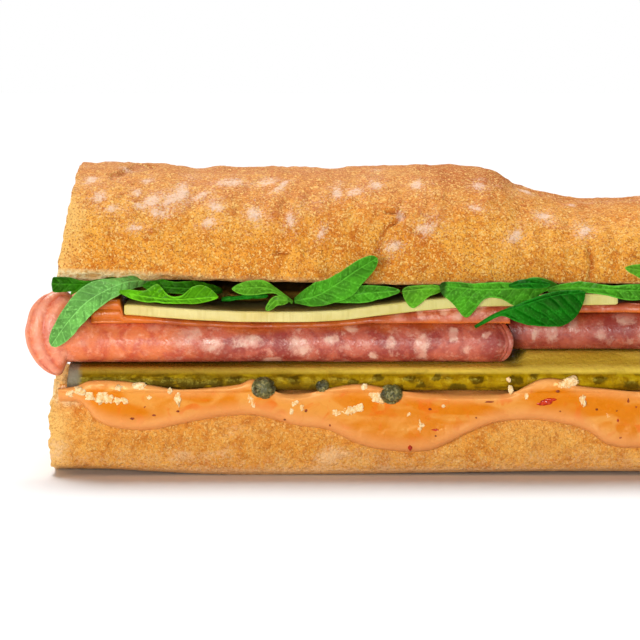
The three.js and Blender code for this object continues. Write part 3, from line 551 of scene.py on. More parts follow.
@dataclass(frozen=True)
class CrustFinish:
    """Golden baked crust with flour, turning to open crumb where the crumb mask says so."""

    name: str
    light: Colour = tint(240, 168, 60)
    gold: Colour = tint(224, 138, 34)
    baked: Colour = tint(178, 88, 18)
    blush: Colour = tint(202, 128, 78)
    flour: Colour = tint(244, 210, 184)
    bright: Colour = tint(242, 180, 78)
    pale: Colour = tint(248, 198, 112)
    fleck: Colour = tint(252, 204, 120)
    crumb: Colour = tint(248, 224, 168)
    pore: Colour = tint(218, 166, 94)
    speckle: float = 0.9

    def make(self) -> Material:
        """Build the material.

        Returns:
            The crust.
        """
        b = Bench(self.name)
        patch, small = b.noise(3.4, 4, 0.64, 0.6), b.noise(1.4, 3, 0.65, 0.4)
        base = b.over(self.gold, self.light, b.noise(13, 3, 0.6, 0.8), 0.38, 0.64)
        base = b.over(base, self.baked, patch, 0.5, 0.68, 0.55)
        base = b.over(base, self.light, patch, 0.48, 0.34, 0.6)
        base = b.over(base, self.baked, small, 0.5, 0.68, 0.55)
        base = b.over(base, self.bright, small, 0.48, 0.36, 0.4)
        # Baked browning; the same mask also carries painted shade in the cracks and under the upper crust.
        base = b.stained(base, self.baked, "toast", 0.75)
        base = b.stained(base, self.blush, "blush", b.between(patch, 0.35, 0.6, 0.35, 0.9))
        base = b.stained(base, self.pale, "pale", 0.8)
        base = b.over(base, self.baked, b.noise(0.42, 2, 0.6), 0.49, 0.66, self.speckle)
        # Small bright flecks, partly the crust's grain colour, partly painted glints; they also raise the fine
        # relief.
        flecks = b.sum("MULTIPLY", b.between(b.noise(0.5, 1, 0.5, 0.8), 0.52, 0.64),
                       b.between(b.noise(1.0, 2), 0.38, 0.54, 0.2, 1))
        base = b.mix(b.sum("MULTIPLY", flecks, self.speckle), base, self.fleck)
        ragged = b.sum("ADD", b.mask("flour"), b.between(b.noise(0.6, 4, 0.8), 0.28, 0.72, -0.5, 0.4))
        base = b.over(base, self.flour, ragged, 0.2, 1.1, 0.85)
        # Darker pore colour in the crumb, partly at random, partly painted shade inside its holes.
        inside = b.over(self.crumb, self.pore, b.noise(0.9, 3, 0.6), 0.42, 0.66)
        colour = b.stained(base, b.stained(inside, self.pore, "hole"), "crumb")
        height = b.sum("ADD", b.sum("MULTIPLY", flecks, 0.2), b.sum("MULTIPLY", small, 1.6))
        return b.finish(colour, b.between(patch, 0.3, 0.7, 0.66, 0.85), 0.2, height, 0.5)


@dataclass(frozen=True)
class SauceFinish:
    """Glossy chilli mayonnaise, orange in the thick of it and paler at the lips."""

    name: str = "chilli_mayonnaise"
    deep: Colour = tint(216, 122, 4)
    pale: Colour = tint(226, 150, 62)
    oil: Colour = tint(224, 104, 4)
    lip: Colour = tint(230, 156, 90)
    sheen: Colour = (1.0, 0.82, 0.4, 1.0)

    def make(self) -> Material:
        """Build the material.

        Returns:
            The sauce.
        """
        b = Bench(self.name)
        base = b.over(self.deep, self.pale, b.noise(11, 2, 0.5, 1.2, (0.6, 1, 1.4)), 0.44, 0.6)
        base = b.over(base, self.oil, b.noise(4.6, 2, 0.5, 1.0), 0.54, 0.7, 0.8)
        base = b.stained(base, self.lip, "lip", 0.9)
        return b.finish(base, b.between(b.noise(4, 2), 0.35, 0.65, 0.2, 0.4), 0.42, b.noise(2.6, 2, 0.5), 0.25,
                        (0.08, 0.004, 0.0018, 0.0008), {"Specular Tint": self.sheen})


@dataclass(frozen=True)
class GherkinFinish:
    """Pickled gherkin: olive skin with dark warts, a pale rim and wet flesh."""

    name: str = "gherkin"
    skin: Colour = tint(140, 102, 2)
    bright: Colour = tint(164, 128, 2)
    streak: Colour = tint(184, 156, 24)
    wart: Colour = tint(66, 44, 0)
    rim: Colour = tint(244, 210, 84)
    flesh: Colour = tint(204, 168, 50)
    # Painted shade for the top of the flesh, which lies under the salami.
    dim: Colour = tint(122, 84, 8)
    dark_end: Colour = tint(68, 52, 8)
    cut: Colour = tint(134, 126, 106)
    sheen: Colour = (1.0, 0.85, 0.12, 1.0)

    def make(self) -> Material:
        """Build the material.

        Returns:
            The gherkin.
        """
        b = Bench(self.name)
        cloud, streak = b.noise(3.2, 3, 0.6, 0.5), b.noise(1.6, 3, 0.6, 0.4, (0.35, 1, 1.2))
        skin = b.over(self.skin, self.bright, cloud, 0.36, 0.62)
        skin = b.over(skin, self.streak, streak, 0.54, 0.7, 0.5)
        skin = b.over(skin, self.wart, streak, 0.47, 0.32, 0.6)
        wart = b.sum("ADD", b.mask("wart"), b.between(b.noise(1.4, 2), 0.3, 0.7, -0.2, 0.2))
        skin = b.over(skin, self.wart, wart, 0.2, 0.8, 0.85)
        skin = b.stained(skin, self.dark_end, "dark", b.between(streak, 0.66, 0.5, 0.4, 1))
        flesh = b.over(self.flesh, self.rim, b.noise(5, 2, 0.5, 0.4, (0.3, 1, 1)), 0.4, 0.6, 0.5)
        top = b.stained(b.stained(flesh, self.rim, "rim"), self.dim, "dim")
        cut = b.over(self.cut, self.dark_end, cloud, 0.4, 0.6, 0.4)
        colour = b.stained(b.stained(skin, top, "top"), cut, "cut")
        return b.finish(colour, b.between(cloud, 0.3, 0.7, 0.2, 0.36), 0.3, b.noise(1.3, 3, 0.6), 0.25,
                        (0.04, 0.003, 0.003, 0.0008), {"Specular Tint": self.sheen})


@dataclass(frozen=True)
class SalamiFinish:
    """Cured sausage: red meat marbled with fat; under the cheese partly grease, partly painted shade and
    reflection.
    """

    name: str = "salami"
    meat: Colour = tint(190, 96, 74)
    deep: Colour = tint(150, 58, 48)
    rosy: Colour = tint(226, 122, 72)
    red: Colour = tint(202, 90, 60)
    pink: Colour = tint(242, 166, 130)
    fat: Colour = tint(230, 188, 164)
    dull_fat: Colour = tint(214, 150, 128)
    # Partly grease, partly painted shade with an orange reflection of the cheese, for the meat under it.
    grease: Colour = tint(202, 106, 28)
    dark_grease: Colour = tint(166, 70, 22)
    # A brighter orange, partly oil, partly painted light on salami in the shade of the overhang.
    oil: Colour = tint(210, 108, 22)
    shade: Colour = tint(104, 34, 24)
    # Painted highlight: a paler pink on the crests of the flare's ripples.
    lip: Colour = tint(240, 168, 136)

    def make(self) -> Material:
        """Build the material.

        Returns:
            The salami.
        """
        b = Bench(self.name)
        meat = b.over(self.meat, self.deep, b.noise(6, 3, 0.6, 0.5), 0.4, 0.6)
        meat = b.over(meat, self.fat, b.noise(1.2, 2, 0.6), 0.54, 0.7, 0.16)
        rosy = b.over(self.rosy, self.red, b.noise(4, 3, 0.6, 0.6), 0.4, 0.66)
        rosy = b.over(rosy, self.pink, b.noise(1.5, 3, 0.7, 0.4), 0.5, 0.7, 0.6)
        meat = b.stained(meat, rosy, "rosy")
        wander = b.between(b.noise(1.6, 4, 0.75), 0.25, 0.75, -0.42, 0.42)
        large = b.between(b.sum("ADD", b.mask("fat"), wander), 0.12, 0.95, 0, 0.9)
        small = b.between(b.sum("ADD", b.cells(4.4), wander), 0.34, 0.04, 0, 0.45)
        share = b.sum("MULTIPLY", b.sum("MAXIMUM", large, small), b.between(b.mask("rosy"), 0, 1, 0.9, 0.3))
        colour = b.mix(share, meat, b.over(self.fat, self.dull_fat, b.noise(2.2, 2), 0.36, 0.64))
        # Under the cheese: partly grease, partly painted shade with the cheese's orange reflection.
        grease = b.over(self.grease, self.dark_grease, b.noise(5, 2), 0.3, 0.7)
        colour = b.stained(colour, b.stained(grease, self.oil, "oily"), "grease")
        colour = b.stained(b.stained(colour, self.shade, "shade"), self.lip, "lip")
        rough = b.between(b.noise(3, 2), 0.3, 0.7, 0.22, 0.44)
        return b.finish(colour, rough, 0.42, b.noise(1.0, 3, 0.6), 0.18, (0.1, 0.004, 0.0015, 0.001))


@dataclass(frozen=True)
class CheeseFinish:
    """Mild sliced cheese, pale yellow and faintly waxy."""

    name: str = "mild_cheese"
    body: Colour = tint(210, 188, 104)
    pale: Colour = tint(220, 204, 132)
    scored: Colour = tint(190, 168, 86)
    green: Colour = tint(166, 168, 76)

    def make(self) -> Material:
        """Build the material.

        Returns:
            The cheese.
        """
        b = Bench(self.name)
        cloud, cuts = b.noise(9, 2, 0.5, 0.3, (0.6, 1, 2)), b.noise(0.8, 2, 0.6, 0.0, (1, 0.2, 0.08))
        colour = b.over(self.body, self.pale, cloud, 0.35, 0.65)
        colour = b.over(colour, self.scored, cuts, 0.5, 0.7, 0.3)
        colour = b.stained(colour, self.green, "green")
        return b.finish(colour, b.between(cloud, 0.3, 0.7, 0.4, 0.52), 0.35, cuts, 0.12,
                        (0.15, 0.004, 0.0035, 0.0015))


@dataclass(frozen=True)
class CaperFinish:
    """Pickled caper, dark green with paler folds."""

    name: str = "caper"
    skin: Colour = tint(84, 84, 42)
    fold: Colour = tint(150, 140, 84)
    dark: Colour = tint(48, 44, 16)

    def make(self) -> Material:
        """Build the material.

        Returns:
            The caper.
        """
        b = Bench(self.name)
        vein = b.noise(1.1, 3, 0.6, 1.4)
        colour = b.over(self.skin, self.fold, vein, 0.46, 0.64)
        colour = b.over(colour, self.dark, b.noise(2.4, 2), 0.5, 0.66, 0.8)
        return b.finish(colour, 0.34, 0.5, vein, 0.35)


@dataclass(frozen=True)
class ScrapFinish:
    """Small things on the sauce: bread crumbs, or chilli in flakes and pieces."""

    name: str
    body: Colour
    other: Colour
    rough: float

    def make(self) -> Material:
        """Build the material.

        Returns:
            The finish.
        """
        b = Bench(self.name)
        cloud = b.noise(0.7, 3, 0.6)
        return b.finish(b.over(self.body, self.other, cloud, 0.35, 0.65), self.rough, 0.4, cloud, 0.15)


class Tone(Enum):
    """The greens of the rocket as seen on a screen, and a brown for the bed under the crust that paints the
    gap's shade.
    """

    BLUE = (114, 184, 84)
    BRIGHT = (90, 176, 8)
    FRESH = (84, 154, 26)
    MID = (66, 148, 24)
    DEEP = (2, 98, 2)
    OLIVE = (38, 110, 2)
    # Painted shade: the bed in the gap takes a brown in place of a green.
    DARK = (110, 78, 24)

    def share(self, part: float, more: float = 0.0) -> Colour:
        """This tone made darker or lighter."""
        return tint(*(min(255, part * v + more) for v in self.value))


@dataclass(frozen=True)
class RocketFinish:
    """Rocket leaf with a pale midrib, side veins and a paler margin."""

    tone: Tone
    sheen: Colour = (0.5, 1.0, 0.25, 1.0)

    def make(self) -> Material:
        """Build the material.

        Returns:
            The leaf.
        """
        b = Bench("rocket_" + self.tone.name.lower())
        light = self.tone.share(1.12, 26)
        cloud = b.noise(5, 3, 0.6, 0.3)
        base = b.over(self.tone.share(0.78), self.tone.share(1), cloud, 0.36, 0.64)
        base = b.over(base, light, b.noise(0.55, 2), 0.5, 0.68, 0.5)
        base = b.over(base, self.tone.share(0.6), b.noise(8, 2, 0.5, 0.6, (1, 1, 1.6)), 0.46, 0.66, 0.6)
        vein = b.sum("PINGPONG", b.sum("ADD", b.mask("vein"), b.between(cloud, 0.3, 0.7, -0.12, 0.12)), 0.5)
        base = b.over(base, light, vein, 0.1, 0.02, 0.22)
        base = b.over(base, light, b.mask("midrib"), 0.34, 0.08, 0.6)
        base = b.stained(base, light, "margin")
        base = b.stained(base, self.tone.share(0.45), "shade")
        height = b.sum("ADD", b.between(vein, 0.0, 0.35), b.sum("MULTIPLY", cloud, 0.8))
        return b.finish(base, b.between(cloud, 0.3, 0.7, 0.42, 0.6), 0.22, height, 0.16,
                        more={"Specular Tint": self.sheen})


# ---- bread
class Side(Enum):
    """The two long sides of the loaf."""

    FRONT = -1
    BACK = 1


@dataclass(frozen=True)
class Loaf:
    """The heights and half widths that the layers share, as the frame has them."""

    half: float = 34.5
    lower_rim: float = 18.6
    layer_dome: float = 2.0
    filling_half: float = 36.0
    salami_base: float = 25.85
    right_lift: float = 2.3
    fullness: float = 2 / 2.35
    rim_knots: Knots = (
        (-105, 46.9), (-88, 46.6), (-75, 46.1), (-60, 45.2), (-45, 44.8), (-30, 44.2), (-22, 43.9), (0, 44.2),
        (60, 44.3), (105, 45.2))
    cheese_knots: Knots = (
        (-103, 38.6), (-88, 38.5), (-75, 37.5), (-61, 36.9), (-48, 36.9), (-39, 37.3), (-30, 38.3), (-20, 39.4),
        (-7, 40.4), (10, 40.6), (24, 40.9), (60, 40.7), (103, 40.1))
    side_knots: Knots = (
        (0, 29.5), (1, 32), (3.6, 33.6), (7.4, 34.4), (11, 34.5), (14.8, 34.1), (17.6, 33.2))

    def dome(self, y: Array) -> Array:
        """How much higher a layer lies at y than at the filling's edge."""
        return self.layer_dome * (1 - np.minimum(1, np.abs(y) / self.filling_half) ** 2.2)

    def arch(self, angle: Array) -> tuple[Array, Array]:
        """Across and up, each up to 1, at an angle of the loaf's rounded section."""
        across = np.sign(np.cos(angle)) * np.abs(np.cos(angle)) ** self.fullness
        return across, np.abs(np.sin(angle)) ** self.fullness

    def rim(self, x: Array) -> Array:
        """Height of the upper half's cut edge."""
        return Curve(self.rim_knots)(x)

    def cheese(self, x: Array) -> Array:
        """Height of the cheese's middle."""
        return Curve(self.cheese_knots)(x)

    def lower_side(self, z: Array) -> Array:
        """Half width of the lower crust at a height."""
        return Curve(self.side_knots)(z)


LOAF = Loaf()


@dataclass
class Bread:
    """What both halves of the baguette share: their rings and their broken, open ends."""

    rows: int = 380
    cap_rings: int = 40
    seed: int = 11

    def capped(self, rows: Array) -> tuple[Array, Array]:
        """Add rings that close in on the middle of each end.

        Args:
            rows: the rings between the ends.

        Returns:
            All rings, and how far in on an end each is (0 on the crust, 1 in the middle).
        """
        inward = np.linspace(0, 1, self.cap_rings + 1)[1:]
        inward[-1] = 0.985
        left, right = (ring + (ring.mean(0) - ring) * inward[:, None, None] for ring in (rows[0], rows[-1]))
        depth = np.r_[inward[::-1], np.zeros(len(rows)), inward]
        return np.vstack([left[::-1], rows, right]), depth

    def bubbles(self, grain: Grain, rows: Array, large: float, small: float) -> Array:
        """How deep each point lies in one of the crumb's holes, of two sizes."""
        return np.maximum(grain.pores(rows, large, 0.5), 0.8 * grain.pores(rows + 7, small, 0.7))


@dataclass
class UpperBread(Bread):
    """The top half of the baguette: floured, blistered crust over open crumb."""

    over: int = 185
    under: int = 62
    crumb_inset: float = 0.8
    left: tuple[float, float] = (-103.4, 4)  # the foot of the broken end, and how far its head leans in
    right: tuple[float, float] = (102.6, -4.2)
    crest_knots: Knots = (
        (-99, 70.2), (-80, 69.6), (-72, 68.5), (-66, 69.4), (-40, 69.0), (-24, 69.6), (-6, 69.1), (-1.6, 68.1),
        (2.5, 65.4), (10, 63.2), (18, 61.6), (31, 62.3), (50, 64.2), (72, 65.1), (90, 64.1), (102, 62.5))
    sag_knots: Knots = (
        (-103, 2.3), (-84, 1.9), (-70, 1.1), (-50, 0.7), (-20, 0.2), (5, -0.5), (105, -0.3))
    # Dusted places as (x, height, half length, half height, slope).
    flour: Rows = (
        (-94.5, 63.3, 2, 1.6, 0), (-89, 69.1, 2.8, 1.2, 0.3), (-85.9, 64.2, 1.2, 1, 0),
        (-81.8, 62.6, 1.8, 1.1, 0), (-84.5, 61.2, 1.9, 1.1, -0.2), (-76.3, 64.2, 2.8, 1.9, 0.7),
        (-82.5, 67.1, 1, 0.7, 0), (-65, 66.4, 4.4, 0.9, 0.05), (-55.9, 66.9, 4.4, 1, 0.1),
        (-52.7, 65.3, 3.2, 0.8, 0.5), (-97, 67, 2, 1, 0.2), (-90.4, 60.4, 2.4, 0.9, 0), (-80, 60, 1.6, 0.8, 0),
        (-86, 56.6, 2.2, 0.8, 0), (-51.3, 69.2, 3.8, 0.9, 0), (-43.6, 68.9, 3, 0.8, 0),
        (-67.2, 61, 1.6, 1.1, 0), (-68.6, 57.8, 2, 1.1, 0.2), (-58.6, 59.6, 1.6, 2, 0),
        (-49.5, 58.7, 1.2, 2.2, 0.3), (-43.2, 55.5, 1.2, 1.5, 0.5), (-40, 64.2, 1.6, 1.4, 0),
        (-70.9, 63.5, 2, 0.7, 0.3), (-30.9, 66, 2, 1.2, 0), (-35, 64, 2.6, 1.1, 0), (-20.4, 66.2, 1.8, 1.2, 0),
        (-6.8, 67.4, 1.2, 0.9, 0), (-6.6, 65.3, 1.8, 0.8, 0), (4.1, 64.2, 1.5, 0.8, 0),
        (-24.5, 59.6, 0.9, 1.8, 0), (-19.5, 56.5, 2.6, 1.4, 0), (-26.8, 52.4, 2, 1.5, 0),
        (17.3, 56, 1.2, 1.1, 0), (7.8, 59, 1.2, 0.9, 0), (-8.2, 61, 2, 0.8, -0.2), (16, 61.4, 1.5, 0.7, 0),
        (1, 54.6, 2, 1.4, 0.3), (40, 60, 3, 1, 0), (58, 62, 4, 1.2, 0.1), (80, 61, 3, 1.3, 0))
    # Cracks as rows of (x, height).
    cracks: Sequence[Knots] = (
        ((-30.2, 51.5), (-29.6, 54.6), (-28.6, 57), (-26.4, 57.9), (-24.2, 59.3), (-25.6, 60.4), (-28.6, 60.2)),
        ((-53.6, 51.6), (-51.4, 51.1)), ((17.8, 45), (18.4, 49.4), (17.6, 52)),
        ((-92, 67.6), (-87, 69.2), (-82, 69.8)), ((62, 50), (60.4, 54.6), (62.2, 58)))

    def section(self) -> tuple[Array, Array]:
        """Even steps over the crust and under the crumb.

        Returns:
            The angles over the crust, and the shares of the half width under the crumb.
        """
        angle = np.linspace(0, math.pi, 4001)
        across, up = LOAF.arch(angle)
        length = lengths(np.stack([LOAF.half * across, 25 * up], axis=-1))
        over = np.interp(np.linspace(0, length[-1], self.over), length, angle)
        share = np.sin(np.linspace(0.5, -0.5, self.under + 2)[1:-1] * math.pi * 0.96)
        return over, share / np.abs(share).max() * 0.985

    def base_rows(self) -> Array:
        """The smooth shape before its crags.

        Returns:
            Rings of points along the loaf.
        """
        over, under = self.section()
        u = np.linspace(0, 1, self.rows)[:, None]
        x = -100 + 200 * u
        rim = LOAF.rim(x)
        rise = Curve(self.crest_knots)(x) - rim
        half = LOAF.half * (1 - 0.025 * relief(x, 3, 5))
        across, up = LOAF.arch(over)
        swell = 1 + 0.012 * np.minimum(1, 3 * up) * relief(x, 9 * over, 4)
        sag = Curve(self.sag_knots)(x) * (1 - np.abs(under) ** 40)
        y = np.hstack([-half * across * swell, (half - self.crumb_inset) * under])
        z = np.hstack([rim + rise * up * swell, rim - sag])
        lean = (z - rim) / rise
        left = self.left[0] + self.left[1] * lean + 0.3 * relief(5, 3 * y, 4 * z)
        right = self.right[0] + self.right[1] * lean + 0.3 * relief(8, 4 * y, 3 * z)
        return grid(blend(left, right, u), y, z)

    def dusted(self, x: Array, z: Array) -> Array:
        """How much flour lies at a place.

        Args:
            x: positions along the loaf.
            z: heights.

        Returns:
            0 where it is bare, up to 1.
        """
        total = np.zeros(x.shape)
        for cx, cz, long, high, slope in self.flour:
            away = np.hypot((x - cx) / long, (z - cz - slope * (x - cx)) / high)
            total = np.maximum(total, np.maximum(fall(away, 0.1, 1.7), 0.36 * fall(away, 0.8, 3.6)))
        return total

    def cracked(self, x: Array, z: Array) -> Array:
        """How deep in a crack a place is.

        Args:
            x: positions along the loaf.
            z: heights.

        Returns:
            0 outside the cracks, 1 in the bottom of one.
        """
        deepest = np.zeros(x.shape)
        for crack in self.cracks:
            for (x0, z0), (x1, z1) in zip(crack, crack[1:]):
                dx, dz = x1 - x0, z1 - z0
                t = np.clip(((x - x0) * dx + (z - z0) * dz) / (dx**2 + dz**2), 0, 1)
                away = np.hypot(x - x0 - t * dx, z - z0 - t * dz)
                deepest = np.maximum(deepest, fall(away, 0.15, 0.75))
        return deepest

    def build(self) -> Shell:
        """Make the surface with its crags, pores and masks.

        Returns:
            The bread.
        """
        grain = Grain(self.seed)
        rows, depth = self.capped(self.base_rows())
        out = facing(rows)
        x, y, z = np.moveaxis(rows, -1, 0)
        ring = np.arange(rows.shape[1])
        on_end = smooth(depth, 0.0, 0.06)[:, None]
        rim_steps = np.minimum(ring, self.over - 1 - ring) / 6
        under = np.where(ring < self.over, fall(rim_steps, 0, 0.35), 1.0)
        crumb = np.maximum(on_end, under)

        along = np.where(y < 0, x, 6 - x)
        drift = [1.4 * grain.soft(rows + shift, 5) for shift in (50, 0)]
        dust = self.dusted(along + drift[0], z + 0.4 * drift[1])
        on_crest = fall(np.abs(y), 13, 21)
        dust = dust * (1 - on_crest * smooth(grain.rough(rows * [0.5, 1, 0], 5, 2), -0.3, 0.05))
        haze = 0.3 * smooth(grain.rough(rows, 9), 0, 0.5) * smooth(z, 50, 60)
        dust = np.clip(0.95 * dust + haze, 0, 1)
        crack = self.cracked(along + 0.3 * drift[0], z)

        above = z - LOAF.rim(x)
        high = smooth(above, 17, 24)
        ridge = 1 - 2.2 * np.abs(grain.rough(rows * [0.8, 1, 1.2], 6.5, 3))
        crust = (0.45 * grain.rough(rows, 15, 2) + 0.24 * ridge + 0.24 * grain.rough(rows, 2.6, 2)
                 + 0.1 * grain.soft(rows, 1.1) - 0.9 * crack + 0.12 * dust
                 + 0.3 * high * grain.rough(rows, 4.5, 3))
        tan = smooth(above + 5 * grain.rough(rows, 9, 2), 11, 20)
        holes = self.bubbles(grain, rows, 4.6, 2.2)
        fluff = 0.3 * grain.rough(rows, 2.4, 3) - 1.3 * holes
        fluff = np.where(on_end > 0.5, fluff * smooth(depth, 0.02, 0.2)[:, None], 0.45 * fluff)
        rows = rows + out * blend(crust, fluff, crumb)[..., None]

        knee = smooth(x, -26, -12) * fall(x, -3, 3) * smooth(z + 1.5 * grain.rough(rows, 4, 2), 63.5, 67.5)
        crest = smooth(z - Curve(self.crest_knots)(x) + 0.8 * grain.rough(rows, 3, 2), -1.6, -0.2)
        toast = (0.4 * smooth(grain.rough(rows, 7), 0.1, 0.8) + 0.5 * smooth(x, -40, 30) * smooth(z, 56, 64)
                 + 0.95 * knee + 0.45 * crest)
        # Painted shade on the crumb under the crust, away from the left end: it loses its crumb colour and
        # takes the dark baked colour.
        stain = 0.9 * smooth(x + 3 * grain.soft(rows, 6), -92, -74) * (1 - on_end)
        blush = 0.85 * np.maximum(0.7 * tan, high) * smooth(-x, -20, 40) * (1 - 0.85 * knee)
        # Painted shade: the cracks take the dark baked colour on top of their depth.
        return tube(rows, {
            "crumb": crumb * (1 - 0.8 * stain), "flour": dust * (1 - under), "hole": holes * crumb,
            "toast": np.clip(toast + 0.9 * crack + 0.8 * stain * under, 0, 1), "blush": blush * (1 - under),
            "pale": fall(x + 2 * grain.soft(rows, 6), -101.5, -97) * (1 - high),
        })

    def place(self) -> Thing:
        """Build it, dress it and set it on the frame."""
        piece = self.build().to_object("baguette_top", CrustFinish("floured_crust").make())
        return settle(piece, "bread", "bread_upper")


@dataclass
class LowerBread(Bread):
    """The bottom half of the baguette, with its rounded, floured foot."""

    cap_rings: int = 34
    seed: int = 23
    side_steps: int = 46
    top_steps: int = 70
    base_steps: int = 44
    cut_half: float = 32.6
    foot_half: float = 29.5
    left: float = -105.2
    right: float = 104.6
    side: Knots = (
        (30.4, 0), (32.7, 1), (33.9, 3.4), (34.4, 7.4), (34.5, 11), (34.1, 14.8), (33.2, 17.6), (32.6, 18.6))
    foot_knots: Knots = (
        (-105, 1.9), (-90, 1.3), (-75, 0.4), (-62, 0), (-30, 0.25), (10, 0.8), (40, 0.7), (70, 0.2), (105, 1))

    def base_rows(self) -> Array:
        """The smooth shape before its crags.

        Returns:
            Rings of points along the loaf.
        """
        t = np.linspace(0, len(self.side) - 1, 800)
        side = np.stack([Curve(enumerate(column))(t) for column in zip(*self.side)], axis=-1)
        side = even_steps(side, self.side_steps)
        share = np.linspace(-1, 1, self.top_steps + 2)[1:-1]
        cut = np.stack([self.cut_half * share, LOAF.lower_rim + LOAF.dome(self.cut_half * share)], axis=-1)
        base = np.linspace(self.foot_half, -self.foot_half, self.base_steps + 2)[1:-1]
        ring = np.vstack([side * [-1, 1], cut, side[::-1], np.stack([base, 0 * base], axis=-1)])
        y, z = ring.T
        u = np.linspace(0, 1, self.rows)[:, None]
        x = blend(self.left, self.right, u)
        on_side = smooth(np.abs(y), 29.4, 31.5) * smooth(z, 0.5, 5) * fall(z, 16.5, 18.4)
        y = y + np.sign(y) * 0.45 * on_side * relief(x, 40 * np.sign(y), 3 * z)
        z = z + Curve(self.foot_knots)(x) * smooth(np.abs(y), 18, 30) * fall(z, 0, 9)
        left = self.left + 0.4 * relief(3, 2 * y, 5 * z) + 0.9 * smooth(z, 14, 21)
        right = self.right + 0.4 * relief(6, 3 * y, 4 * z) - 0.9 * smooth(z, 14, 21)
        return grid(blend(left, right, u), y, z)

    def build(self) -> Shell:
        """Make the surface with its crags, pores and masks.

        Returns:
            The bread.
        """
        grain = Grain(self.seed)
        rows, depth = self.capped(self.base_rows())
        out = facing(rows)
        x, y, z = np.moveaxis(rows, -1, 0)
        ring = np.arange(rows.shape[1])
        cut_from, cut_to = self.side_steps - 1, self.side_steps + self.top_steps
        on_cut = smooth(np.minimum(ring - cut_from, cut_to - ring), -0.4, 0.6)
        on_end = smooth(depth, 0.0, 0.07)[:, None]
        torn = smooth(z + 2.2 * grain.rough(rows, 5), 16.2, 18.4) * smooth(-x, 93, 101)
        crumb = np.maximum(np.maximum(on_end, on_cut), torn)
        crust = smooth(z, 0.2, 3) * (
            0.45 * grain.rough(rows, 14, 2) + 0.2 * (1 - 2.2 * np.abs(grain.rough(rows, 6, 2)))
            + 0.16 * grain.rough(rows, 2.4, 2) + 0.06 * grain.soft(rows, 1.1))
        holes = self.bubbles(grain, rows, 4.4, 2.1)
        torn_up = smooth(-x, 99.5, 102.2) * smooth(-y, 4, 14) * on_cut * (1 - on_end)
        z += 3.4 * torn_up * (0.8 + 0.4 * grain.soft(rows, 2.5))
        fluff = 0.35 * grain.rough(rows, 2.2, 3) - 1.4 * holes
        fluff = np.where(on_end > 0.5, fluff * smooth(depth, 0.02, 0.22)[:, None], -0.25 * np.abs(fluff))
        rows = rows + out * blend(crust, fluff, crumb)[..., None]
        rows[..., 2] = np.maximum(rows[..., 2], 0.0)
        dust = (0.5 * fall(z + 4 * grain.rough(rows, 6), 2, 9) + 0.4 * fall(z, 1.2, 2.4)
                + 0.55 * smooth(grain.rough(rows * [0.6, 1, 1.4], 8), 0.1, 0.5))
        return tube(rows, {
            "crumb": crumb * (1 - 0.75 * torn_up), "flour": np.clip(dust, 0, 1), "hole": holes * crumb,
            # Browning at random, and darker towards the top of the side.
            "toast": 0.4 * smooth(grain.rough(rows + 30, 9), 0, 0.7) + 0.3 * smooth(z, 8, 15), "blush": 0.0,
            "pale": fall(x + 2.4 * grain.soft(rows, 4), -104.5, -100),
        })

    def place(self) -> Thing:
        """Build it, dress it and set it on the frame."""
        finish = CrustFinish("floured_foot", tint(238, 172, 78), tint(224, 147, 52), tint(186, 104, 28),
                             flour=tint(240, 194, 140), speckle=0.6)
        piece = self.build().to_object("baguette_bottom", finish.make())
        return settle(piece, "bread", "bread_lower")


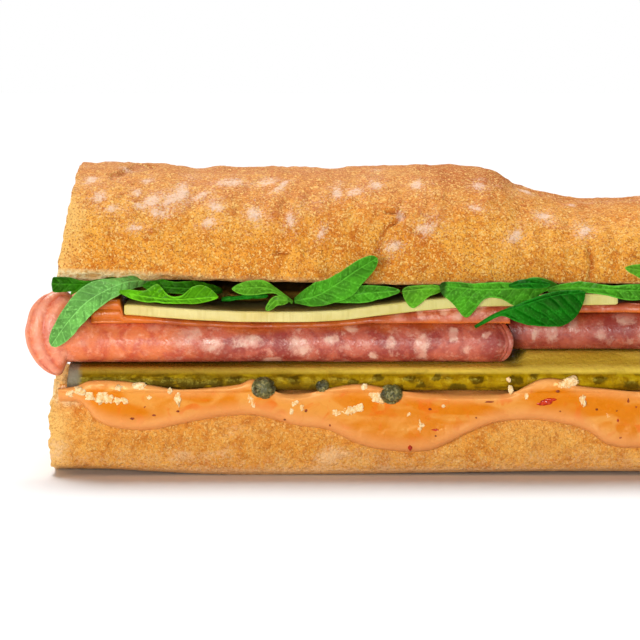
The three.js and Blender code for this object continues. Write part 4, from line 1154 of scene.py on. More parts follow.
# ---- sauce and what lies on it
@dataclass
class SpicySauce:
    """The sauce under the gherkins and the drips that hang over both sides of the lower crust."""

    stations: int = 400
    wall_steps: int = 46
    left: float = -103
    right: float = 102.6
    body: float = 2.5
    lap: float = 0.8
    skin: float = 38.75
    crust_top: float = 17.6
    highest_lip: float = 17.2
    inner_half: float = 32
    seed: int = 31
    front_lip: Knots = (
        (-103, 18), (-98, 16.6), (-94, 12.6), (-88, 10.9), (-82, 10.8), (-74, 12.4), (-66, 13.8), (-58, 14),
        (-49, 11.8), (-42, 10.8), (-34, 7.2), (-25, 5.8), (-18, 6.2), (-10, 10), (-4, 12.3), (3, 13.1),
        (10, 12.5), (17, 10.7), (22, 7.4), (29, 6.6), (36, 8.8), (44, 13.6), (52, 14.2), (60, 11.2), (67, 8.4),
        (74, 9.2), (82, 12.8), (90, 11.6), (97, 13.6), (102.5, 18))
    back_lip: Knots = (
        (-102.5, 18), (-95, 13.4), (-86, 9.4), (-76, 8.2), (-66, 11.4), (-56, 14.2), (-44, 13.6), (-34, 10.2),
        (-26, 9.8), (-16, 13.2), (-4, 14.4), (6, 11.6), (16, 7.2), (26, 6.6), (36, 10.8), (46, 13.8),
        (58, 14.2), (68, 11.4), (78, 9.8), (88, 12.6), (96, 14.8), (102.5, 18))
    front_top: Knots = (
        (-103, 20.6), (-99, 21.2), (-95.9, 22.4), (-89.1, 22.4), (-82.2, 21.5), (-75.4, 20.5), (-67.5, 21),
        (-61.8, 21.7), (-59, 22.8), (-56.2, 21.6), (-52.7, 19.6), (-48.1, 19.4), (-43.6, 20.1), (-40.2, 21),
        (-35.6, 21.7), (-32.2, 21.5), (-25.4, 20.1), (-16.3, 19.3), (-2.7, 19.3), (0.7, 19.9), (3, 21.2),
        (6.4, 22.8), (10.9, 22.8), (14.4, 21.5), (22.3, 20.5), (29.1, 19.9), (40, 20.6), (50, 22.2), (58, 21),
        (70, 19.6), (82, 21.6), (92, 20.4), (102.6, 19.8))
    back_top: Knots = (
        (-103, 19.8), (-90, 21.4), (-80, 20.2), (-66, 22.4), (-57, 21.2), (-44, 19.6), (-30, 21.2), (-14, 20),
        (0, 21.8), (14, 19.6), (30, 20.4), (40, 22.2), (56, 20), (70, 21.4), (86, 19.8), (102.6, 20.2))

    def lip(self, x: Array, side: Side) -> Array:
        """Height of the lower lip."""
        return np.minimum(Curve(self.front_lip if side is Side.FRONT else self.back_lip)(x), self.highest_lip)

    def face(self, z: Array, lip: Array) -> tuple[Array, Array]:
        """How far out the sauce starts and ends at a height.

        Args:
            z: heights.
            lip: height of the lower lip there.

        Returns:
            Where it starts, on the crust or the gherkin's skin, and how thick it is from there.
        """
        crust = LOAF.lower_side(np.minimum(z, self.crust_top)) + 0.4
        inner = blend(crust, self.skin, smooth(z, 17.4, 20.4))
        outer = LOAF.lower_side(np.minimum(z, 14)) + self.body + 2.2 * smooth(z, 11, 21)
        return inner, (np.maximum(outer, inner + self.lap) - inner) * rounded((z - lip) / 1.9)

    def wall(self, x: Array, side: Side) -> Array:
        """One side of the sauce, from its lower lip to its upper edge and in under the gherkin.

        Args:
            x: stations along the loaf, as a column.
            side: which long side.

        Returns:
            Place across, height, and how near a lip or the upper edge it is, for each point.
        """
        lip, top = self.lip(x, side), Curve(self.front_top if side is Side.FRONT else self.back_top)(x)
        z = blend(lip, top, np.linspace(0, 1, self.wall_steps) ** 1.15)
        inner, thick = self.face(z, lip)
        y = inner + thick * (0.15 + 0.85 * rounded((top - z) / 1.3))
        y, z = np.hstack([y, 36.4 + 0 * x, 34.2 + 0 * x]), np.hstack([z, 19.5 + 0 * x, 20.2 + 0 * x])
        return grid(side.value * y, z, np.maximum(fall(z - lip, 0.8, 4.6), 0.75 * fall(top - z, 0.4, 3)))

    def inside(self, x: Array, side: Side) -> Array:
        """The face that lies on the crust, from the top down; as for wall()."""
        z = blend(self.lip(x, side), self.crust_top, np.linspace(0.9, 0.06, 6))
        return grid(side.value * (LOAF.lower_side(z) + 0.2), z, 0)

    def build(self) -> Shell:
        """Make the sauce with its soft swellings.

        Returns:
            The sauce.
        """
        grain = Grain(self.seed)
        x = np.linspace(self.left, self.right, self.stations)[:, None]
        across = np.linspace(-self.inner_half, self.inner_half, 14)
        level = LOAF.lower_rim + LOAF.dome(across)
        y, z, near = np.moveaxis(np.hstack([
            self.wall(x, Side.FRONT), grid(across, level + 1.95, 0 * x), self.wall(x, Side.BACK)[:, ::-1],
            self.inside(x, Side.BACK)[:, ::-1], grid(across, level + 0.3, 0 * x)[:, ::-1],
            self.inside(x, Side.FRONT),
        ]), -1, 0)
        rows = grid(x, y, z)
        shown = smooth(np.abs(y), 35.2, 36.6)
        swell = (0.32 * grain.rough(rows * [0.5, 1, 1], 6, 2) + 0.1 * grain.soft(rows, 1.8)) * shown
        rows[..., 1] += np.sign(y) * swell
        return tube(rows, {"lip": near})

    def on_side(self, x: float, z: float, side: Side) -> Point:
        """A place on the sauce's outer face."""
        return x, side.value * float(sum(self.face(z, self.lip(x, side)))), z

    def place(self) -> Thing:
        """Build it, dress it and set it on the frame."""
        piece = self.build().to_object("spicy_sauce", SauceFinish().make())
        return settle(piece, "sauce", "sauce")


@dataclass
class Scraps:
    """Crumbs that fell on the sauce and the chilli in it, each kind as one piece."""

    sauce: SpicySauce
    seed: int = 41
    # Crumbs as (x, height, half length, half height).
    crumbs: Rows = (
        (-100.4, 19.6, 0.9, 0.7), (-98.1, 20.2, 1.2, 0.7), (-96, 19, 1.3, 1), (-93.6, 18.8, 1.6, 1),
        (-91.6, 18, 1.1, 0.8), (-89.6, 17.4, 1.1, 0.8), (-87.9, 17.9, 0.8, 0.7), (-89.5, 20.8, 0.8, 0.5),
        (-84.5, 21, 1.6, 0.6), (-82.4, 19, 0.7, 0.6), (-75.8, 17.9, 0.9, 1.6), (-77.6, 20.2, 0.5, 0.5),
        (-59.1, 17.8, 0.8, 1.2), (-49.3, 17.1, 0.6, 0.6), (-50, 15.3, 0.5, 0.6), (-47.9, 16.2, 0.5, 0.5),
        (-40, 15.3, 0.9, 0.7), (-37.2, 15.6, 1.4, 0.8), (-35, 16.2, 1, 0.7), (-33.6, 21, 0.6, 0.5),
        (-31.1, 19.2, 1.1, 1), (-30, 18.4, 0.8, 0.8), (-23.4, 14.6, 0.4, 0.4), (-20.4, 12.2, 1, 1),
        (-15.6, 16.7, 0.4, 0.4), (-0.4, 20.5, 0.5, 0.6), (-0.9, 22.8, 0.4, 0.4), (3.2, 19.2, 0.4, 0.7),
        (12.8, 22.4, 1.5, 0.9), (11.4, 21.6, 0.9, 0.6), (16, 18.3, 0.7, 1.4), (21.9, 14.6, 0.5, 0.5),
        (38, 17, 1, 0.8), (47, 19, 1.3, 0.7), (63, 15, 1.2, 0.9), (74, 18.2, 0.9, 1.1), (88, 17, 1.4, 0.8),
        (96, 18, 1, 0.9))
    # Dark flakes as (x, height, half length, half height).
    flakes: Rows = (
        (-86.3, 13.6, 0.5, 0.35), (-81.3, 14.4, 0.5, 0.3), (-83.4, 16.5, 0.4, 0.4), (-75.9, 15.3, 0.35, 0.25),
        (-46.8, 15.5, 0.35, 0.4), (-41.3, 12.1, 0.3, 0.3), (-51.6, 13.3, 0.3, 0.2), (-31.3, 13.4, 0.35, 0.35),
        (-25, 12.5, 0.3, 0.3), (-18.6, 15.8, 0.4, 0.25), (-17.2, 9.6, 0.4, 0.3), (-8.1, 13.8, 0.3, 0.25),
        (-5.2, 17.6, 1.2, 0.25), (10.3, 20.1, 0.4, 0.4), (19.3, 15.8, 0.3, 0.3), (23.9, 15.5, 0.3, 0.3),
        (26.4, 18, 0.3, 0.9), (27.8, 10.3, 0.35, 0.3), (11, 15.3, 0.25, 0.2), (28.2, 16.4, 0.35, 0.3),
        (24.8, 9.2, 0.5, 0.3))
    # Soft red pieces as (x, height, half length, half height, tilt).
    chillies: Rows = (
        (7.9, 17.6, 2.3, 0.75, 0.5), (-17.2, 11, 1.1, 0.45, -0.1), (-23.1, 6.9, 0.5, 0.9, 0),
        (24.2, 13.3, 0.7, 0.7, 0), (41, 17.2, 1.6, 0.6, -0.4), (66, 12.4, 1.2, 0.7, 0.3),
        (92, 16.2, 1.4, 0.6, 0.2))

    def spread(self, kind: int, many: int, large: float) -> list[tuple]:
        """Places on the far side.

        Args:
            kind: another number gives other places.
            many: how many.
            large: the largest half length.

        Returns:
            (x, height, half length, half height, side) for each.
        """
        rng = np.random.default_rng(self.seed + kind)
        places = []
        while len(places) < many:
            x, z = rng.uniform(-98, 98), rng.uniform(8, 20)
            if z > float(Curve(self.sauce.back_lip)(x)) + 1.6:
                size = large * rng.uniform(0.4, 1) ** 1.4
                places.append((x, z, size, size * rng.uniform(0.5, 0.9), Side.BACK))
        return places

    def lump(self, middle: Array, half: Array, uneven: float) -> Shell:
        """An uneven lump.

        Args:
            middle: its centre.
            half: half its length, depth and height.
            uneven: how much of its size the unevenness takes.

        Returns:
            The lump.
        """
        unit_ball = ball(10, 20, 0.06)
        swell = 1 + uneven * Grain(self.seed).rough(unit_ball * 10 + middle * 3, 5.5)
        return tube(unit_ball * swell[..., None] * half + middle, {})

    def lumps(self, places: list[tuple], uneven: float, sink: float, flat: float, cluster: int = 1) -> Shell:
        """Lumps half sunk in the sauce.

        Args:
            places: (x, height, half length, half height, side) for each.
            uneven: how uneven they are.
            sink: how deep their middle lies, as a share of the half height.
            flat: depth as a share of the half height.
            cluster: how many lumps stick together in each place.

        Returns:
            All of them.
        """
        shells = []
        rng = np.random.default_rng(self.seed)
        for x, z, long, high, side in places:
            for k in range(cluster):
                away = 0.6 * (k > 0) * rng.uniform(-1, 1, 2)
                middle = np.array(self.sauce.on_side(x + away[0] * long, z + away[1] * high, side))
                middle[1] -= side.value * sink * high
                size = 1 if cluster == 1 else rng.uniform(0.4, 0.75)
                shells.append(self.lump(middle, size * np.array((long, max(flat * high, 0.25), high)), uneven))
        return join_all(shells)

    def place(self) -> None:
        """Build each kind, dress it and set it on the frame."""
        front = Side.FRONT
        crumbs = [(x, z, 1.15 * long, 1.4 * high, front) for x, z, long, high in self.crumbs]
        flakes = [(*flake, front) for flake in self.flakes]
        reds = [(x + k * long * math.cos(tilt), z + k * long * math.sin(tilt), 0.6 * long, high * (1 - abs(k)),
                 front) for x, z, long, high, tilt in self.chillies for k in (-0.45, 0.0, 0.45)]
        kinds = (
            ("fallen_crumbs", self.lumps(crumbs + self.spread(1, 26, 1.4), 0.9, 0.3, 0.8, 7),
             ScrapFinish("loose_crumb", tint(248, 226, 178), tint(236, 186, 116), 0.8), "bread"),
            ("chilli_flakes", self.lumps(flakes + self.spread(2, 24, 0.5), 0.5, 0.35, 0.5),
             ScrapFinish("chilli_flake", tint(164, 62, 4), tint(110, 40, 6), 0.6), "sauce"),
            ("chilli_pieces", self.lumps(reds + self.spread(3, 5, 1.4), 0.35, 0.3, 0.7),
             ScrapFinish("red_chilli", tint(206, 60, 6), tint(166, 20, 6), 0.1), "sauce"),
        )
        for name, shell, finish, slot in kinds:
            settle(shell.to_object(name, finish.make()), slot)


@dataclass
class Capers:
    """Seven capers, each pressed half into the sauce."""

    seed: int = 53
    places: Sequence[tuple[str, Point, float]] = (
        ("front_left", (-56.4, -38.9, 20.8), 2.6), ("front_middle", (-27.4, -38.6, 19.4), 2.4),
        ("front_small", (-43, -38.6, 21.2), 1.5), ("front_right", (52, -38.6, 20.2), 2.9),
        ("front_far_right", (83.5, -38.4, 19.6), 2.6), ("back_left", (-58, 38.6, 19.8), 2.9),
        ("back_right", (37, 38.8, 20.4), 3.0))

    def build(self, middle: Point, radius: float) -> Shell:
        """One wrinkled caper.

        Args:
            middle: its centre.
            radius: its size.

        Returns:
            The caper.
        """
        grain = Grain(self.seed)
        unit_ball = ball(40, 64, 0.05)
        at = unit_ball * radius + np.array(middle)
        swell = 0.99 - 0.2 * fall(np.abs(grain.rough(at, 1.7, 2)), 0, 0.26) + 0.05 * grain.soft(at, 2.2)
        return tube(unit_ball * swell[..., None] * radius * [1.08, 1, 1] + np.array(middle), {})

    def place(self) -> None:
        """Build each, dress it and set it on the frame."""
        finish = CaperFinish().make()
        for name, middle, radius in self.places:
            piece = self.build(middle, radius).to_object("pickled_caper_" + name, finish)
            settle(piece, "caper", "caper_" + name)


# ---- gherkins
@dataclass
class Gherkin:
    """One long slice with its skin to the outside."""

    start: float
    stop: float
    side: Side
    warts: Rows
    ring_steps: int = 84
    seed: int = 61
    # The section as (distance out, height, share of the slice's own height).
    outline: Rows = (
        (1.8, 20.9, 0), (18, 20.9, 0), (33.2, 20.9, 0), (35.4, 20.05, 0), (36.6, 19.9, 0), (37.9, 20.3, 0),
        (38.5, 21.2, 0), (38.65, 22.3, 0), (38.5, 23.4, 0.3), (38.1, 24.3, 0.8), (37.3, 24.95, 1),
        (36.2, 25.35, 1), (34.6, 25.5, 1), (28, 25.5, 1), (18, 25.5, 1), (1.8, 25.5, 1))

    def build(self) -> Shell:
        """Make the slice with its warts.

        Returns:
            The slice.
        """
        grain = Grain(self.seed)
        u = np.linspace(0, 1, int((self.stop - self.start) / 0.7))[:, None]
        x = blend(self.start, self.stop, u)
        out, height, top = even_steps(np.array(self.outline), self.ring_steps).T
        lift = LOAF.right_lift * smooth(x, 0.7, 4.2) * fall(out, 30, 37.6) * top
        y = out + 0.28 * relief(4 * x, 0, 3 * self.side.value) * smooth(out, 33, 38)
        z = height + LOAF.dome(out) * fall(out, 33.2, 37) + lift
        x = x + 0.12 * (22 - z) * np.where(u > 0.5, 1, -1) * smooth(np.abs(u - 0.5), 0.4, 0.5)
        rows = grid(x, self.side.value * y, z)
        wart = np.zeros(y.shape)
        drift = 0.7 * grain.soft(rows, 2)
        for wx, wz, size in self.warts:
            away = np.hypot((x + drift - wx) / (2.1 * size), (z - wz) / (1.25 * size))
            wart = np.maximum(wart, fall(away, 0.5, 1.15))
        wart = wart * smooth(out, 36.6, 37.6)
        bumps = 0.3 * wart + 0.22 * grain.rough(rows, 3.4, 2) * smooth(out, 36.8, 38) * (1 - top)
        near_end = np.minimum(x - self.start, self.stop - x)
        bevel = (1 - np.clip(near_end / 2.5, 0, 1)) * smooth(out, 30, 36)
        rows[..., 1] += self.side.value * (bumps * (1 - 0.6 * top) - 2.4 * bevel)
        rim = smooth(out, 35.6, 36.8)
        masks = {
            "wart": wart, "top": smooth(z + 0.3 * grain.soft(rows, 4), 23.9, 24.5), "rim": rim,
            "dark": np.clip(0.92 * fall(x, -84, -14) + 0.5 * smooth(22 - z, 0, 2), 0, 1) * (1 - top),
            "cut": fall(near_end, 2.2, 3.8) * (0.4 + 0.6 * smooth(out, 33, 35) * (x < -98)),
            # Painted shade on the top of the flesh under the salami: darker to the left on the near slices,
            # evenly on the far ones.
            "dim": 0.45 if self.side is Side.BACK else fall(x, -78, -22) * (1 - 0.35 * rim),
        }
        turn = -self.side.value
        return tube(rows[:, ::turn], {k: np.broadcast_to(v, y.shape)[:, ::turn] for k, v in masks.items()})


@dataclass
class Gherkins:
    """The four gherkin slices."""

    # Slices as (name, start, stop, side, seed of the warts, or 0 for the shown ones).
    slices: Sequence[tuple] = (
        ("front_left", -101.1, 32.6, Side.FRONT, 0), ("front_right", 34.4, 101.2, Side.FRONT, 1),
        ("back_left", -99.4, -29.6, Side.BACK, 2), ("back_right", -27.6, 100.8, Side.BACK, 3))
    # The shown warts as (x, height, size).
    shown: Rows = (
        (-71.8, 21.2, 0.9), (-67.2, 21.9, 1.0), (-62.9, 22.4, 1.0), (-49.7, 22.4, 0.8), (-44.3, 20.4, 1.1),
        (-36.3, 21.9, 0.9), (-30.2, 23, 0.8), (-23.1, 22.9, 0.8), (-20.9, 21.4, 0.7), (-17.2, 23.2, 0.8),
        (-12.2, 20.3, 1.5), (-8.1, 22.6, 0.9), (0.5, 22.5, 1.2), (5.3, 23.4, 0.7), (-55, 21.4, 0.7),
        (-26, 20.6, 0.8), (-78, 22.4, 0.8), (-85, 21.8, 0.9), (-92, 22.2, 0.8), (13, 21, 0.8), (20, 22.6, 0.9),
        (27, 21.4, 1.0))

    def rows_of_warts(self, start: float, stop: float, seed: int) -> list[tuple[float, ...]]:
        """Warts in two uneven rows.

        Args:
            start: where the slice starts.
            stop: where it ends.
            seed: another number gives other places.

        Returns:
            (x, height, size) of each.
        """
        rng = np.random.default_rng(seed)
        return [(x + rng.uniform(-1.4, 1.4), rng.choice([20.9, 22.6]) + rng.uniform(-0.4, 0.4),
                 rng.uniform(0.6, 1.1)) for x in np.arange(start + 3, stop - 2, 4.4)]

    def place(self) -> None:
        """Build each slice, dress it and set it on the frame."""
        finish = GherkinFinish().make()
        for name, start, stop, side, seed in self.slices:
            warts = self.rows_of_warts(start, stop, seed) if seed else self.shown
            piece = Gherkin(start, stop, side, warts).build().to_object("sliced_gherkin_" + name, finish)
            settle(piece, "gherkin", "gherkin_" + name)


# ---- salami and cheese
@dataclass(frozen=True)
class Marbling:
    """The large pieces of fat in the salami."""

    seed: int = 7
    # Shown pieces as (x, height, half length, half height).
    shown: Rows = (
        (-107, 38, 1.6, 2.4), (-74, 32.1, 3.2, 1.8), (-68.4, 30.5, 2.5, 1.6), (-59.7, 31, 4.1, 1.4),
        (-48.6, 30.3, 2.5, 2.3), (-81.3, 34.4, 2.5, 1.1), (-85.9, 35.5, 1.8, 1.1), (-41, 31.4, 1.8, 1.3),
        (-31.6, 28.7, 1.6, 1.1), (-27.5, 31.2, 1.4, 1.4), (-20.4, 30.3, 1.8, 2.7), (-13.8, 32.4, 1.4, 1.4),
        (-10.6, 29.9, 1.1, 1.1), (-6.1, 32.8, 1.1, 0.9), (14.3, 34.9, 1.4, 2.3), (9.1, 32.6, 1.6, 1.6),
        (20.7, 32.8, 1.6, 1.6), (5.5, 32.4, 0.9, 1.4), (-26.1, 37.4, 1.6, 2), (-20.6, 37.2, 1, 1.6),
        (-15.2, 38.4, 1.1, 1.4), (-12.5, 37, 1.2, 1.4), (-7.6, 38.6, 1, 1.4), (-54, 27.6, 2.2, 0.8),
        (-36.5, 34, 2, 0.8))

    def share(self, rows: Array, grain: Grain) -> Array:
        """How much a place lies in one of the pieces.

        Args:
            rows: points on the salami.
            grain: the field that bends their outlines.

        Returns:
            0 in the meat, up to 1 in the middle of a piece of fat.
        """
        rng = np.random.default_rng(self.seed)
        pieces = list(self.shown)
        for start, stop, step, top, largest in ((26, 112, 4.2, 40, (2.8, 2)), (-108, -88, 5, 37, (2, 1.6))):
            pieces += [(u, rng.uniform(29, top), *rng.uniform((1, 0.9), largest))
                       for u in np.arange(start, stop, step)]
        x = np.where(rows[..., 1] < 0, rows[..., 0], 5 - rows[..., 0]) + 0.9 * grain.soft(rows, 3)
        z = rows[..., 2] + 0.7 * grain.soft(rows + 60, 3)
        total = np.zeros(x.shape)
        for at, height, long, high in pieces:
            total = np.maximum(total, fall(np.hypot((x - at) / long, (z - height) / high), 0.3, 1.4))
        return total


MARBLING = Marbling()


@dataclass
class FoldEnd:
    """How a folded slice ends: how far it opens, drops and rounds off, and how short its inner slice is."""

    open: float = 0.0
    hang: float = 0.0
    curve: float = 0.3
    inset: float = 1.4


@dataclass
class SalamiFold:
    """A folded salami slice and the slice inside its fold."""

    node: str
    start: float
    stop: float
    side: Side
    lift: float
    fold: float
    radius: float
    left: FoldEnd
    right: FoldEnd
    thick: float = 1.2
    step: float = 1.5
    flat_columns: int = 8
    fold_columns: int = 52
    seed: int = 71

    def outline(self, nest: int) -> tuple[Array, Array, Array]:
        """The two ends of one of the slices and the rows between them.

        Args:
            nest: 0 for the outer slice, 1 for the one inside it.

        Returns:
            Where each column starts and ends, and each row's share of the length, closer at the ends.
        """
        flat = np.linspace(0.6, 1, self.flat_columns)
        bent = np.abs(np.linspace(-90, 90, self.fold_columns)) / 80 * 0.556
        short = 12 * (1 - np.exp(-2.6 * np.r_[flat[::-1], bent, flat] ** 1.8))
        left = self.start + self.left.inset * nest + short * self.left.curve
        right = self.stop - self.right.inset * nest - short * self.right.curve
        end = 0.088 * np.linspace(0, 1, 30) ** 1.6
        return left, right, np.r_[end[:-1], np.linspace(end[-1], 1 - end[-1], 150), 1 - end[-2::-1]][:, None]

    def middle(self, nest: int) -> tuple[Array, dict[str, Array]]:
        """The middle surface of one of the slices.

        Args:
            nest: 0 for the outer slice, 1 for the one inside it.

        Returns:
            A grid of points and its masks.
        """
        grain = Grain(self.seed)
        left, right, u = self.outline(nest)
        x = blend(left, right, u)
        from_left, from_right = x - left, right - x
        opening = (1 - 0.4 * nest) * (self.left.open * fall(x, self.start + 7, self.start + 17)
                                      + self.right.open * smooth(x, self.stop - 17, self.stop - 7))
        hang = (1 - nest) * (self.left.hang * fall(x, self.start + 7.2, self.start + 9.2)
                             + self.right.hang * smooth(x, self.stop - 9.2, self.stop - 7.2))

        part = np.repeat([-1, 0, 1], [self.flat_columns, self.fold_columns, self.flat_columns])
        folded = part == 0
        angle = part * math.pi / 2
        angle[folded] = np.radians(np.linspace(-90, 90, self.fold_columns))
        centre = self.fold - self.radius
        flat = np.linspace(1.6, centre, self.flat_columns + 1)[:-1]
        ys = np.r_[flat, np.full(self.fold_columns, centre), flat[::-1]]
        bend = self.radius - self.thick / 2 - nest * self.step
        lowest = LOAF.salami_base + self.lift + self.thick / 2
        floor, roof = lowest + nest * self.step, lowest + (3 - nest) * self.step
        y = np.where(folded, centre + bend * np.cos(angle) * (1 + 0.05 * opening), ys)
        far = smooth(centre - ys, 0, 9)
        fold_z = (floor + LOAF.dome(centre) + bend * (1 + np.sin(angle)) + opening * smooth(angle, -1, 0.9)
                  - hang * fall(angle, -1.2, 0.6))
        floor_z = floor + LOAF.dome(ys) - hang * (1 - far)
        roof_z = blend(fold_z, roof + LOAF.dome(ys) + 0.25 + 0.3 * opening, far)
        z = np.where(folded, fold_z, np.where(part < 0, floor_z, roof_z))

        rows = grid(x, self.side.value * y, z)
        soft = grain.rough(rows * [0.5, 1, 1], 9, 2) * 0.4 * folded
        rows[..., 1] += self.side.value * soft
        rows[..., 2] += 0.5 * soft
        rows[..., 0] += 0.35 * grain.soft(rows * [0, 1, 1], 3.0) * fall(np.minimum(u, 1 - u), 0, 0.03)
        # Ripples on the flared left end; the lip mask lays a painted highlight on their crests.
        ripples = fall(from_left, 4, 10) * min(self.left.open / 7, 1) * folded
        lip = 0.5 + 0.5 * np.cos(2 * math.pi * from_left / (2.2 + 0.12 * from_left))
        layers = fall(from_right, 1, 5.5) * (self.right.open == 0) * folded
        edges = np.abs(np.sin(math.pi * (from_right + 0.4 * grain.soft(rows, 5)) / 1.15))
        rows[..., 1] += self.side.value * (0.35 * ripples * (lip - 0.5) - 1.3 * layers**2
                                           + 0.3 * layers * edges)

        rosy = fall(x + 3 * grain.soft(rows, 9), -86, -62) * (1 if self.side is Side.FRONT else 0.7)
        # Painted shade with the cheese's orange reflection on the fold's top under the cheese, partly grease.
        greasy = smooth(z + 1.2 * grain.soft(rows, 4), 32.8 + self.lift, 34.8 + self.lift) * (1 - rosy)
        shade = (0.75 * nest * (1 - rosy) + 0.5 * layers * fall(edges, 0.1, 0.5)
                 + 0.8 * fall(from_left, 1, 5) * (self.left.curve < 0.1)
                 + 0.35 * smooth(x, -10, 8) + 0.6 * smooth(x, -2.6, -0.4) * nest)
        return rows, {
            "rosy": rosy, "grease": 0.8 * greasy, "shade": np.clip(shade, 0, 1), "lip": 0.5 * ripples * lip,
            # Partly oil, partly painted light: a brighter orange in the strip under the cheese.
            "oily": 0.3 * smooth(x, -84, -76) * fall(x, -40, -26), "fat": MARBLING.share(rows, grain),
        }

    def place(self, finish: Material) -> None:
        """Build both slices, dress them in the salami's finish and set them on the frame."""
        for nest, node in enumerate((self.node, self.node + "_inner")):
            rows, masks = self.middle(nest)
            shell = sheet(rows, self.thick * edged(rows.shape[:2], 4), masks)
            settle(shell.to_object("sliced_" + node, finish), "salami", node)


@dataclass
class UpperSlices:
    """The slices stacked between the folds and the cheese."""

    node: str
    start: float
    stop: float
    lift: float
    rise: float
    edge: float = 36.0
    above_base: float = 8.05
    seed: int = 83

    def build(self) -> Shell:
        """Make the stack with a groove between slices.

        Returns:
            The stack.
        """
        def hump(t: Array) -> Array:
            """A half circle over 0 to 1."""
            return rounded(1 - np.abs(2 * t - 1))

        grain = Grain(self.seed)
        x = np.linspace(self.start, self.stop, int((self.stop - self.start) / 0.8))[:, None]
        base = LOAF.salami_base + self.above_base + self.lift
        top = LOAF.cheese(x) - 1.3 + self.rise * smooth(-x, 88.3, 89)
        edge = self.edge + 0.5 * relief(2 * x, 0, 2)
        t = np.linspace(0, 1, 34)
        z = blend(np.minimum(base + 1.3, top - 1.5), top, t)
        layer = np.mod((top - z) / (2.3 + 3.4 * smooth(x, -46, -28)) + 0.08 * np.sin(0.13 * x), 1)
        y = edge - 1.0 + 0.6 * hump(t) + 0.8 * hump(layer)
        rows = np.hstack([
            grid(x, y, z), grid(x, np.linspace(0.94, -0.94, 16) * (edge - 2), top), grid(x, -y, z)[:, ::-1],
            grid(x, np.linspace(-17, 17, 10), base),
        ])[:, ::-1]
        rows[..., 1] += 0.3 * grain.rough(rows, 4, 2) * np.sign(rows[..., 1])
        x, y, z = np.moveaxis(rows, -1, 0)
        out = np.abs(y) - edge
        groove = fall(out, -0.9, -0.2) * (out > -2.5)
        left, right = fall(x, -84, -76), smooth(x, -34, -22)
        low = fall(z + 0.5 * grain.soft(rows, 3) - base, 1.2, 2.4)
        # Most of the stack takes the grease colour: partly grease, partly painted shade with the cheese's
        # orange reflection.
        return tube(rows, {
            "rosy": 0.0, "lip": 0.0, "fat": MARBLING.share(rows, grain),
            "grease": 0.95 - 0.6 * right * (1 - low),
            # Partly oil, partly painted light: the brighter orange lifts the stack's left end under the
            # overhang, and a little of the rest.
            "oily": left + (0.2 + 0.4 * low * right) * (1 - left),
            "shade": (0.3 + 0.3 * groove) * (1 - left) * (1 - right),
        })

    def place(self, finish: Material) -> None:
        """Build it, dress it in the salami's finish and set it on the frame."""
        settle(self.build().to_object("stacked_" + self.node, finish), "salami", self.node)


@dataclass
class Salami:
    """All the salami."""

    def place(self) -> None:
        """Build every fold and both stacks."""
        finish = SalamiFinish().make()
        front, back, lift = Side.FRONT, Side.BACK, LOAF.right_lift
        plain, hidden = FoldEnd(), FoldEnd(curve=0.05, inset=0.6)
        parts = (
            SalamiFold("salami_front_left", -110.4, 0.4, front, 0, 37.4, 4.6, FoldEnd(7.6, 3.2, 1),
                       FoldEnd(inset=0.2)),
            SalamiFold("salami_front_right", -0.8, 107.4, front, lift, 33.6, 4.3, hidden, FoldEnd(1, 0, 1)),
            SalamiFold("salami_back_left", -107, -0.6, back, 0, 36.8, 4.6, FoldEnd(3, 0, 1), plain),
            SalamiFold("salami_back_right", 0, 110.4, back, lift, 34.4, 4.3, hidden, FoldEnd(1.6, 0, 1)),
            UpperSlices("salami_upper_left", -95.6, -0.4, 0, 3.4),
            UpperSlices("salami_upper_right", 0.2, 103.4, lift, 0, 33.6),
        )
        for part in parts:
            part.place(finish)


@dataclass
class CheeseSlice:
    """One slice of cheese with straight cut edges."""

    node: str
    start: float
    stop: float
    front: float
    back: float
    thick: float = 2.4
    corner: float = 0.35
    seed: int = 97

    def ring(self) -> Array:
        """The section: both cut edges, the faces between them and four rounded corners.

        Returns:
            Places across and heights above the middle.
        """
        angle = np.radians([0, 22, 45, 68, 90])
        inward, up = self.corner * (1 - np.cos(angle)), self.thick / 2 - self.corner * (1 - np.sin(angle))
        z = np.r_[np.linspace(-0.8, 0.8, 6), up, np.full(26, self.thick / 2), up[::-1]]
        halves = []
        for a, b, way in ((-self.front, self.back, 1), (self.back, -self.front, -1)):
            over = np.linspace(a + way, b - way, 26)
            y = np.r_[np.full(6, a), a + way * inward, over, (b - way * inward)[::-1]]
            halves.append(np.stack([y, way * z]))
        return np.hstack(halves)

    def build(self) -> Shell:
        """Make the slice.

        Returns:
            The slice.
        """
        grain = Grain(self.seed)
        x = np.linspace(self.start, self.stop, 240)[:, None]
        y, z = self.ring()
        near = np.minimum(x - self.start, self.stop - x)
        rows = grid(x, y, LOAF.cheese(x) + z * (0.55 + 0.45 * rounded(near / 0.5 + 0.15)))
        half = (self.front + self.back) / 2
        edge = smooth(np.abs(y - self.back + half), half - 2, half)
        rows[..., 1] += edge * (0.35 * grain.rough(rows * [1, 0, 0], 14, 2) + 0.08 * grain.soft(rows, 1.2))
        rows[..., 2] += 0.12 * grain.rough(rows * [1, 0.6, 0], 7, 2)
        return tube(rows, {"green": 0.4 * smooth(x, -62, -22)})


@dataclass
class Cheese:
    """Both slices of cheese."""

    slices: Sequence[CheeseSlice] = (
        CheeseSlice("cheese_left", -88, 23.9, 38.2, 36.4), CheeseSlice("cheese_right", 31, 95.4, 36.8, 37.6))

    def place(self) -> None:
        """Build each, dress it and set it on the frame."""
        finish = CheeseFinish().make()
        for part in self.slices:
            settle(part.build().to_object("slice_" + part.node, finish), "cheese", part.node)


